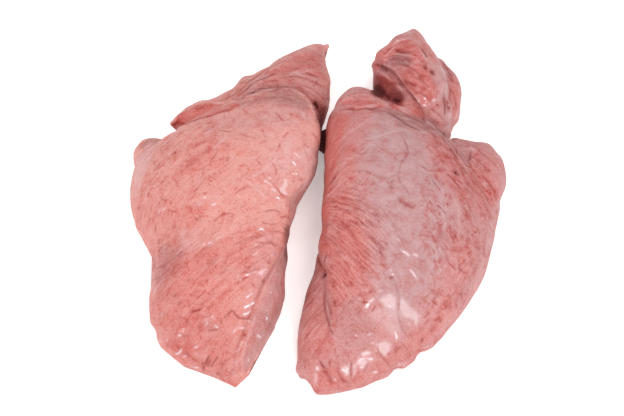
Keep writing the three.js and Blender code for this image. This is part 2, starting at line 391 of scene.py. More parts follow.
RIGHT_NUDGES = [
    ((478, 136), 14, (0, 5)), ((468, 138), 10, (0, 2)), ((452, 137), 5, (0, -2)),
    ((500, 148), 12, (-3, 4)), ((509, 172), 16, (-3, 0)), ((504, 164), 9, (-3, 0)),
    ((503, 200), 9, (-3, 0)), ((462, 108), 14, (-2.5, 0)), ((448, 66), 9, (-3, 1)),
    ((456, 128), 6, (-3, -1)), ((403, 31), 9, (3.5, 3)), ((384, 42), 10, (3.5, 1)),
    ((373, 57), 5, (3.5, 2)), ((374, 68), 5, (-3, 0)), ((365, 86), 10, (0, 2)),
    ((370, 87), 4, (0, 1.2)), ((334, 106), 9, (1.5, 1)), ((326, 125), 8, (-0.8, 0)),
    ((321, 165), 22, (1.8, 0)), ((322, 156), 6, (-1, 0)), ((321, 190), 14, (1.5, 0)),
    ((320, 225), 12, (2, 0)), ((318, 246), 9, (-1.5, 0)), ((309, 272), 14, (3, 0)),
    ((298, 368), 6, (-2, 2)), ((304, 385), 6, (1.5, -4)), ((310, 388), 4, (0.8, -1.5)),
    ((319, 392), 6, (-1.5, 2)), ((343, 393), 11, (0, -2)), ((356, 390), 7, (0, -1)),
    ((375, 384), 14, (0, -2)), ((395, 371), 6, (-1, -3)), ((404, 368), 5, (1, 1)),
    ((417, 355), 5, (-1, -1.5)), ((421, 353), 5, (-1, -1.4)), ((412, 359), 6, (0.5, 1)),
    ((432, 344), 7, (1, 1.5)), ((442, 337), 8, (1, 1)),
]

# Short strokes that say which way the tissue's fibres run near them.
LEFT_COMB = [
    [(150, 200), (158, 180)], [(165, 160), (185, 145)], [(200, 130), (220, 122)],
    [(236, 130), (262, 134)], [(285, 110), (292, 130)], [(275, 155), (290, 135)],
    [(205, 172), (222, 158)], [(240, 198), (262, 186)], [(190, 228), (206, 212)],
    [(262, 240), (285, 232)], [(240, 262), (264, 250)], [(165, 270), (190, 246)],
    [(200, 300), (226, 274)], [(170, 320), (190, 298)], [(236, 300), (256, 282)],
    [(190, 352), (204, 334)], [(212, 366), (222, 346)], [(240, 360), (248, 334)],
    [(262, 330), (276, 290)], [(235, 84), (262, 74)], [(285, 78), (312, 74)],
    [(300, 100), (314, 112)], [(180, 120), (205, 111)],
]
RIGHT_COMB = [
    [(326, 150), (338, 132)], [(326, 180), (340, 166)], [(330, 200), (350, 203)],
    [(335, 212), (352, 214)], [(335, 221), (345, 225)], [(333, 230), (342, 238)],
    [(330, 246), (338, 256)], [(358, 205), (367, 212)], [(368, 212), (376, 221)],
    [(352, 235), (364, 250)], [(346, 245), (358, 260)], [(343, 262), (351, 270)],
    [(366, 246), (376, 262)], [(345, 280), (352, 285)], [(364, 280), (374, 292)],
    [(380, 250), (394, 268)], [(340, 296), (350, 306)], [(372, 190), (392, 200)],
    [(400, 220), (420, 240)], [(360, 112), (380, 120)], [(400, 118), (430, 128)],
    [(440, 150), (462, 176)], [(470, 150), (494, 172)], [(480, 200), (492, 226)],
    [(450, 200), (456, 232)], [(430, 250), (440, 276)], [(462, 296), (470, 280)],
    [(410, 290), (404, 316)], [(420, 340), (432, 326)], [(380, 345), (388, 362)],
    [(345, 340), (352, 360)], [(320, 372), (326, 350)], [(306, 330), (316, 300)],
    [(308, 300), (318, 280)], [(340, 100), (370, 100)], [(395, 50), (412, 44)],
    [(400, 60), (424, 74)], [(405, 85), (420, 105)], [(440, 70), (450, 90)],
]

# Fibres: strength, softness of the border and outline of a place where they show, then lines,
# one below the other, that they run along.
LEFT_FIBRES = [
    (0.3, 14, [
        (156, 262), (190, 232), (250, 222), (284, 232), (262, 300), (232, 360), (190, 350),
        (158, 316),
    ], [
        [(150, 262), (165, 250), (182, 236), (200, 224)],
        [(152, 290), (172, 270), (196, 250), (226, 234), (260, 228)],
        [(158, 318), (180, 294), (206, 268), (236, 250), (276, 240)],
        [(172, 340), (196, 312), (222, 286), (250, 268), (276, 256)],
        [(190, 362), (212, 332), (238, 302), (262, 286)],
        [(214, 374), (230, 346), (250, 314)],
    ]),
]
RIGHT_FIBRES = [
    (0.72, 9, [
        (326, 196), (350, 190), (374, 196), (384, 214), (386, 240), (378, 262), (360, 284),
        (346, 306), (332, 300), (328, 240),
    ], [
        [(326, 190), (336, 184), (350, 184), (364, 190), (376, 197), (390, 206), (402, 216)],
        [(324, 202), (336, 200), (346, 203), (358, 208), (368, 215), (378, 224), (386, 233)],
        [(326, 214), (334, 215), (342, 220), (350, 228), (358, 236), (368, 245), (376, 254)],
        [(328, 226), (334, 230), (342, 238), (350, 247), (358, 256), (366, 264), (374, 272)],
        [(327, 240), (334, 247), (342, 257), (350, 266), (358, 274), (366, 284)],
        [(326, 262), (334, 268), (342, 279), (349, 288), (358, 300)],
        [(328, 284), (333, 292), (339, 306), (344, 320)],
    ]),
    (0.5, 6, [
        (328, 120), (344, 110), (360, 112), (352, 134), (344, 160), (342, 186), (327, 196),
        (324, 150),
    ], [
        [(326, 132), (336, 118), (350, 106)],
        [(325, 150), (338, 132), (356, 116)],
        [(324, 168), (338, 150), (356, 132)],
        [(324, 188), (338, 168), (354, 150)],
        [(324, 206), (338, 188), (352, 176)],
    ]),
    (0.6, 4, [
        (300, 352), (306, 300), (320, 268), (325, 300), (326, 344), (312, 366),
    ], [
        [(303, 290), (312, 280), (322, 272)],
        [(301, 312), (311, 300), (324, 288)],
        [(300, 332), (311, 318), (326, 302)],
        [(300, 352), (312, 336), (328, 320)],
        [(304, 368), (314, 352), (330, 336)],
    ]),
]

# Zones: for each layer, strength, softness of the border in pixels, and outline.
LEFT_FRONT_LOBE = [
    (236, 100), (250, 84), (280, 66), (326, 48), (330, 96), (324, 128), (306, 96), (270, 92),
]
LEFT_ZONES = {
    "flush": [
        (1.0, 1.5, [
            (171, 127), (176, 118), (184, 111), (191, 108), (198, 105), (204, 103), (211, 103),
            (216, 105), (224, 105), (232, 104), (239, 104), (242, 105), (239, 107), (232, 108.5),
            (222, 111), (210, 115), (200, 118), (190, 122), (180, 126), (177, 124),
        ]),
        (0.15, 8, LEFT_FRONT_LOBE),
        (0.6, 5, [
            (284, 61), (300, 53), (322, 51), (324, 60), (328, 76), (314, 78), (296, 72), (282, 74),
            (270, 82), (262, 86), (268, 76),
        ]),
        (0.35, 12, [(132, 200), (170, 196), (196, 220), (196, 250), (150, 250)]),
        (0.35, 8, [
            (246, 232), (286, 226), (286, 262), (270, 290), (256, 326), (244, 320), (246, 270),
        ]),
        (0.55, 14, [(150, 256), (200, 250), (236, 280), (236, 340), (150, 340)]),
        (0.35, 9, [(186, 150), (214, 144), (222, 152), (200, 170), (182, 184), (174, 176)]),
        (0.55, 18, [(150, 300), (200, 310), (250, 330), (236, 386), (200, 374), (160, 346)]),
        (0.9, 7, [(160, 334), (182, 334), (200, 348), (206, 372), (186, 366), (164, 348)]),
        (0.5, 5, [(204, 352), (232, 356), (242, 366), (236, 384), (216, 378), (204, 372)]),
        (0.35, 14, [(190, 250), (240, 236), (280, 236), (262, 280), (220, 300), (190, 300)]),
        (0.4, 5, [(146, 240), (158, 236), (162, 250), (156, 264), (150, 254)]),
        (0.6, 3, [
            (284, 262), (289, 262), (287, 285), (284, 302), (281, 316), (276, 322), (281, 290),
        ]),
        (0.4, 4, [(268, 296), (280, 290), (280, 316), (270, 326)]),
    ],
    # Darker grey, mostly painted shade: on the front lobe, which lies lower, under its lip and the back
    # lobe's rim, at the waist and on the medial face.
    "dark_tone_and_shade": [
        (0.6, 8, LEFT_FRONT_LOBE),
        (0.25, 4, [
            (200, 101), (222, 94), (232, 88), (243, 77), (262, 71), (280, 59), (305, 46), (328, 45),
            (326, 50), (310, 51), (292, 60), (276, 68), (262, 78), (250, 88), (238, 98), (216, 103),
        ]),
        (0.6, 4, [
            (240, 97), (252, 88), (268, 84), (290, 80), (312, 84), (328, 94), (327, 110),
            (314, 104), (304, 92), (290, 88), (268, 90), (250, 96),
        ]),
        (0.6, 4, [
            (236, 102), (256, 96), (284, 92), (302, 97), (309, 106), (306, 114), (290, 104),
            (262, 101), (240, 106),
        ]),
        (0.6, 2, [(141, 147), (148, 139), (156, 139), (160, 141), (150, 144), (143, 149)]),
        (0.6, 9, [
            (158, 250), (172, 243), (184, 247), (184, 262), (174, 278), (160, 290), (153, 280),
        ]),
        (0.25, 8, [(156, 288), (176, 284), (182, 296), (170, 306), (156, 304)]),
        (0.25, 18, [(160, 312), (200, 310), (240, 330), (232, 386), (200, 374), (164, 346)]),
        (0.22, 2.5, [
            (282, 252), (285, 272), (284, 300), (280, 318), (272, 334), (262, 350), (252, 366),
            (243, 372), (246, 352), (252, 332), (260, 312), (266, 296), (274, 278),
        ]),
    ],
    "shade": [
        (0.55, 3, [(314, 102), (322, 107), (328, 108), (325, 118), (321, 130), (319, 124)]),
        (0.7, 2.5, [(318, 112), (326, 112), (325, 121), (321, 130), (317, 121)]),
        (0.6, 2.5, [(286, 229), (292, 227), (291, 245), (290, 263), (286, 266), (284, 250)]),
        (0.25, 1.5, [(170, 126), (173, 122), (177, 121), (178, 124), (175, 126)]),
    ],
    # Blood red: the first zone paints the shade of the pocket under the front lobe, the second is the red
    # of the flap's tip.
    "blood": [
        (0.8, 3, [(312, 100), (322, 105), (329, 106), (326, 118), (321, 130), (318, 122)]),
        (0.9, 1.5, [(170, 126), (173, 122), (179, 119), (180, 123), (176, 126)]),
    ],
    "mauve_and_sheen": [
        (0.35, 10, [(196, 120), (250, 106), (300, 100), (312, 120), (262, 128), (210, 138)]),
        (0.55, 2.5, [
            (286, 244), (285, 272), (284, 300), (280, 318), (272, 334), (262, 350), (252, 366),
            (245, 372), (240, 370), (243, 352), (249, 332), (256, 312), (262, 296), (270, 278),
            (279, 260),
        ]),
    ],
    # Pale tone, and painted sheen and reflections: on the tab's left edge and by the medial ridge, where
    # the softbox shows.
    "pale": [
        (0.35, 4, [(135, 162), (146, 148), (158, 143), (150, 160), (142, 176), (136, 190)]),
        (0.25, 8, [(176, 236), (196, 230), (194, 248), (184, 258)]),
        (0.35, 4, [(300, 150), (318, 146), (312, 184), (300, 206), (290, 210), (296, 190)]),
        (0.35, 5, [(281, 140), (293, 138), (294, 160), (286, 178), (279, 172)]),
        (0.15, 14, [(262, 116), (300, 122), (310, 170), (296, 204), (280, 204), (256, 176)]),
        (0.25, 8, [(262, 236), (280, 234), (270, 280), (256, 310), (244, 316), (250, 280)]),
        (0.64, 1.2, [
            (283, 179), (287, 179), (288, 184), (286, 189), (288, 193), (288, 196), (284, 194),
            (280, 191), (280, 187), (284, 184),
        ]),
        (0.3, 2, [(277, 158), (285, 156), (288, 166), (286, 176), (279, 172)]),
    ],
    "stria": [
        (0.5, 12, [(136, 150), (180, 130), (206, 140), (170, 190), (140, 220)]),
        (0.7, 8, [(152, 260), (180, 240), (190, 252), (172, 286), (154, 310)]),
        (0.6, 14, [(190, 240), (250, 216), (286, 216), (276, 260), (240, 300), (196, 310)]),
        (0.5, 6, [(200, 346), (240, 350), (240, 380), (204, 374)]),
        (0.6, 6, [(220, 100), (262, 72), (326, 50), (328, 100), (300, 96), (250, 98)]),
    ],
    "gloss": [
        (0.28, 8, [(258, 146), (302, 146), (304, 176), (292, 202), (270, 202), (256, 180)]),
        (0.35, 6, [(256, 222), (270, 230), (270, 282), (252, 318), (242, 300), (250, 250)]),
        (0.45, 5, [(242, 308), (256, 306), (246, 345), (238, 378), (228, 374), (238, 340)]),
        (0.35, 5, [(268, 282), (280, 282), (274, 320), (256, 352), (246, 372), (246, 350)]),
        (0.5, 6, [(160, 330), (186, 328), (200, 346), (204, 374), (188, 366), (164, 344)]),
    ],
}

# The wet patch low on the right lung: gloss, with a pale painted reflection of the softbox.
RIGHT_WET_SHEEN_PATCH = [
    (379, 300), (385, 297), (393, 295), (399, 299), (403, 296), (409, 303), (416, 309), (418, 316),
    (418, 323), (412, 325), (408, 318), (403, 315), (398, 322), (392, 320), (384, 319), (388, 312),
    (382, 306),
]
RIGHT_ZONES = {
    # Mauve, which over the middle of the lung also stands for painted sheen.
    "mauve_and_sheen": [
        (0.9, 18, [
            (352, 128), (384, 112), (420, 128), (446, 170), (456, 220), (440, 280), (400, 330),
            (376, 300), (380, 240), (366, 190),
        ]),
        (0.4, 5, [
            (440, 62), (448, 76), (446, 90), (450, 104), (450, 126), (444, 128), (440, 100),
            (440, 80),
        ]),
    ],
    "stria": [
        (1.0, 14, [
            (326, 190), (352, 184), (388, 200), (402, 250), (392, 290), (362, 306), (334, 296),
            (322, 240),
        ]),
        (0.8, 6, [(300, 350), (306, 290), (320, 264), (324, 300), (324, 340)]),
        (0.9, 6, [
            (384, 106), (440, 122), (470, 150), (500, 180), (490, 230), (440, 150), (400, 130),
        ]),
        (0.5, 14, [(420, 150), (470, 200), (480, 280), (440, 330), (410, 330), (430, 240)]),
        (0.6, 4, [(376, 58), (412, 32), (440, 70), (430, 110), (400, 80)]),
    ],
    "flush": [
        # The first strip, on the left edge that faces away from the light, is deeper red both as the
        # tissue's flush and as painted shade.
        (1.0, 4, [
            (322, 118), (338, 112), (350, 116), (346, 134), (338, 160), (333, 190), (328, 240),
            (324, 262), (312, 264), (314, 200), (316, 150),
        ]),
        (0.65, 9, [
            (328, 116), (342, 112), (350, 124), (344, 150), (340, 180), (352, 200), (364, 230),
            (372, 262), (356, 282), (340, 300), (332, 330), (327, 290), (318, 262), (322, 200),
            (326, 150),
        ]),
        (0.4, 10, [(330, 112), (376, 112), (364, 140), (354, 170), (350, 196), (328, 200)]),
        (0.9, 2, [
            (347, 101), (360, 101), (380, 103), (386, 107), (372, 107), (350, 109), (343, 107),
        ]),
        (0.9, 2.5, [
            (384, 100), (396, 103), (410, 109), (420, 108), (424, 116), (412, 115), (396, 109),
        ]),
        (0.5, 8, [
            (432, 136), (452, 150), (466, 176), (470, 200), (456, 200), (440, 176), (430, 156),
        ]),
        (0.55, 8, [(470, 152), (492, 160), (502, 190), (488, 226), (472, 210), (466, 180)]),
        (0.2, 12, [(462, 230), (496, 220), (484, 280), (456, 320), (430, 340), (440, 290)]),
        (0.8, 3, [(372, 62), (380, 50), (392, 42), (398, 52), (386, 60), (378, 66), (373, 74)]),
        (0.45, 10, [
            (300, 356), (318, 364), (350, 376), (400, 350), (450, 300), (470, 296), (424, 352),
            (370, 386), (312, 394),
        ]),
        (0.6, 6, [(314, 368), (336, 366), (352, 380), (340, 392), (318, 392)]),
        (0.55, 8, [(312, 326), (328, 322), (336, 340), (330, 362), (306, 356)]),
        (0.45, 7, [(298, 350), (306, 300), (322, 262), (326, 300), (322, 350), (304, 372)]),
        (0.7, 4, [
            (384, 50), (398, 42), (414, 41), (422, 50), (432, 70), (434, 92), (424, 112), (404, 86),
            (396, 70), (414, 64), (404, 53),
        ]),
        (0.5, 3, [(375, 70), (392, 74), (402, 86), (396, 86), (384, 84), (376, 80)]),
        (0.45, 4, [
            (396, 38), (412, 30), (424, 36), (432, 50), (440, 62), (432, 64), (420, 48), (404, 42),
        ]),
        (0.5, 4, [(448, 78), (458, 86), (460, 106), (454, 118), (450, 100)]),
    ],
    # Darker grey, mostly painted shade: in the hollows and under the folds of the front lobe, below the
    # cap, and on the flanks and the right rim, where less light falls.
    "dark_tone_and_shade": [
        (0.05, 3, [(345, 93), (356, 87), (372, 92), (384, 98), (376, 101), (350, 100)]),
        (0.65, 5, [
            (370, 109), (392, 108), (412, 116), (430, 119), (444, 130), (452, 142), (440, 137),
            (420, 131), (404, 128), (388, 118),
        ]),
        (0.5, 6, [
            (484, 210), (494, 214), (488, 246), (476, 284), (462, 306), (456, 300), (470, 268),
            (480, 240),
        ]),
        (0.4, 14, [(440, 128), (500, 144), (510, 190), (494, 260), (464, 250), (452, 190)]),
        (0.25, 10, [(300, 356), (330, 340), (350, 360), (340, 386), (306, 380)]),
        (0.3, 7, [(300, 300), (314, 280), (324, 290), (322, 312), (308, 330), (300, 330)]),
        (0.35, 6, [(298, 350), (312, 346), (314, 372), (300, 376)]),
        (0.5, 6, [(378, 59), (390, 54), (406, 52), (418, 58), (418, 66), (404, 70), (390, 66)]),
        (0.8, 2, [(395, 48), (404, 48), (414, 51), (413, 54), (403, 53), (395, 53)]),
        (0.7, 3, [
            (373, 66), (380, 67), (392, 74), (402, 88), (408, 102), (398, 100), (386, 86),
            (374, 76),
        ]),
        (0.3, 8, [(380, 56), (410, 34), (440, 60), (460, 96), (446, 130), (416, 100), (398, 76)]),
        (0.4, 3, [(440, 60), (448, 67), (456, 80), (450, 78), (443, 68)]),
        (0.5, 6, [
            (466, 150), (486, 150), (498, 170), (500, 190), (492, 215), (480, 205), (468, 185),
        ]),
        (0.35, 10, [
            (306, 350), (330, 300), (360, 300), (376, 320), (372, 350), (346, 352), (334, 330),
        ]),
    ],
    "shade": [
        (0.25, 5, [(388, 59), (400, 57), (412, 61), (410, 66), (396, 65)]),
        (0.95, 3, [(374, 84), (380, 84), (385, 90), (386, 95), (381, 98), (376, 98), (372, 93)]),
        (0.35, 3, [(373, 74), (384, 78), (396, 88), (404, 100), (392, 104), (380, 99), (373, 94)]),
        (0.55, 2.5, [
            (373, 80), (382, 83), (388, 92), (396, 98), (394, 104), (384, 100), (373, 96),
        ]),
        (0.6, 2.5, [(386, 91), (400, 91), (404, 100), (398, 103), (388, 98)]),
    ],
    # Blood red that also paints the shade of the pocket under the fold.
    "blood": [
        (1.0, 3, [
            (373, 72), (384, 76), (394, 82), (402, 92), (406, 106), (394, 104), (382, 98),
            (373, 94),
        ]),
    ],
    # Pale tone of the rim, and painted reflections: on the wet patch, on the lumps near the bottom edge
    # and on the front lobe's ridges.
    "pale": [
        (0.3, 5, [(436, 64), (444, 76), (443, 92), (436, 88)]),
        (0.3, 5, [(376, 60), (390, 62), (400, 70), (396, 74), (384, 67)]),
        (0.2, 2.5, [
            (507, 176), (498, 216), (492, 246), (480, 282), (462, 310), (442, 334), (430, 346),
            (424, 344), (440, 326), (458, 302), (476, 272), (488, 238), (494, 210), (501, 180),
        ]),
        (0.6, 2, [
            (379, 301), (383, 297), (389, 295), (396, 297), (397, 303), (397, 310), (391, 309),
            (385, 308),
        ]),
        (0.6, 2, [
            (399, 300), (403, 297), (409, 302), (414, 307), (418, 313), (418, 323), (412, 321),
            (406, 316), (402, 310),
        ]),
        (0.3, 3, [(370, 314), (380, 310), (397, 311), (400, 322), (388, 324), (376, 322)]),
        (0.35, 3, [(384, 324), (400, 324), (404, 342), (392, 338)]),
        (0.35, 2, RIGHT_WET_SHEEN_PATCH),
        (0.6, 2, [(375, 343), (383, 341), (390, 344), (391, 351), (386, 357), (380, 352)]),
        (0.55, 1.2, [(360, 352), (366, 350), (373, 352), (370, 356), (362, 356)]),
        (0.6, 1.2, [(358, 359), (364, 357), (368, 362), (364, 367), (358, 365)]),
        (0.55, 1.2, [(339, 368), (345, 365), (349, 366), (350, 376), (345, 377)]),
        (0.55, 1.2, [(353, 364), (357, 363), (357, 372), (353, 377)]),
        (0.5, 1.2, [(394, 368), (400, 364), (406, 363), (402, 367)]),
        (0.5, 1.2, [(422, 348), (428, 345), (433, 345), (428, 348)]),
        (0.55, 1.2, [(373, 371), (376, 370), (378, 373), (375, 374)]),
        (0.5, 1.2, [(398, 106), (404, 107), (412, 111), (413, 114), (404, 112)]),
    ],
    "net": [
        (0.6, 12, [
            (428, 128), (470, 150), (500, 170), (496, 240), (466, 310), (430, 330), (424, 250),
        ]),
    ],
    "gloss": [
        (0.4, 2, RIGHT_WET_SHEEN_PATCH),
        (0.42, 2, [(376, 343), (384, 341), (390, 344), (391, 351), (386, 357), (380, 352)]),
        (0.45, 5, [(340, 360), (358, 350), (392, 338), (396, 360), (376, 378), (344, 384)]),
        (0.42, 3, [(312, 366), (322, 364), (322, 388), (314, 388)]),
        (0.4, 5, [(360, 320), (404, 322), (404, 346), (366, 346)]),
        (0.45, 4, [(411, 94), (440, 94), (440, 108), (418, 110)]),
        (0.4, 3, [(436, 60), (448, 72), (448, 98), (438, 98)]),
        (0.4, 3, [(400, 30), (414, 29), (418, 38), (402, 42)]),
    ],
}

# A mark's style: half width and depth in millimetres (a negative depth stands proud), and how
# much of each layer it lays down. Shade in folds, creases, pleats, slits, wrinkles, hollows,
# shadows, pits and holes is painted shade, and so is part of their blood red; pale in glints,
# slivers, sheens and beads is painted highlight and painted sheen, beside real gloss.
Style = namedtuple("Style", "width depth shade blood pale gloss")
STYLES = {
    "fold": Style(1.4, 1.1, 0.3, 0.6, 0, 0),
    "crease": Style(0.7, 0.45, 0.25, 0.8, 0, 0),
    "pleat": Style(0.8, 0.6, 0.4, 0.6, 0, 0),
    "slit": Style(1.3, 1.0, 0.5, 1.0, 0, 0),
    "wrinkle": Style(0.7, 0.3, 0.12, 0.6, 0, 0),
    "hollow": Style(3.2, 1.5, 0.1, 0.15, 0, 0),
    "shadow": Style(3.0, 0.6, 0.8, 0.5, 0, 0),
    "pit": Style(1.6, 1.5, 0.95, 0.3, 0, 0),
    "hole": Style(1.5, 1.2, 1.6, 0.3, 0, 0),
    "vein": Style(0.8, -0.05, 0.06, 0.5, 0, 0),
    "streak": Style(0.6, 0.05, 0, 0.85, 0, 0),
    "faint": Style(0.7, 0.02, 0, 0.45, 0, 0),
    "smear": Style(1.5, 0.1, 0.03, 0.8, 0, 0),
    "blot": Style(2.4, 0.1, 0, 0.5, 0, 0),
    "cord": Style(0.8, -0.3, 0, 0, 0.35, 0.3),
    "lip": Style(1.1, -0.8, 0, 0, 0.35, 0.2),
    "rim": Style(1.0, -0.4, 0, 0, 0.45, 0.4),
    "ridge": Style(2.4, -1.0, 0, 0, 0.15, 0.1),
    "scar": Style(0.7, 0.05, 0, 0, 0.6, 0.2),
    "sheen": Style(1.2, -0.15, 0, 0, 0.45, 0.4),
    "glint": Style(0.9, -0.3, 0, 0, 0.95, 0.7),
    "sliver": Style(0.75, -0.25, 0, 0, 0.9, 0.7),
    "sheen_bead": Style(1.3, -0.2, 0, 0, 0.8, 0.6),
}

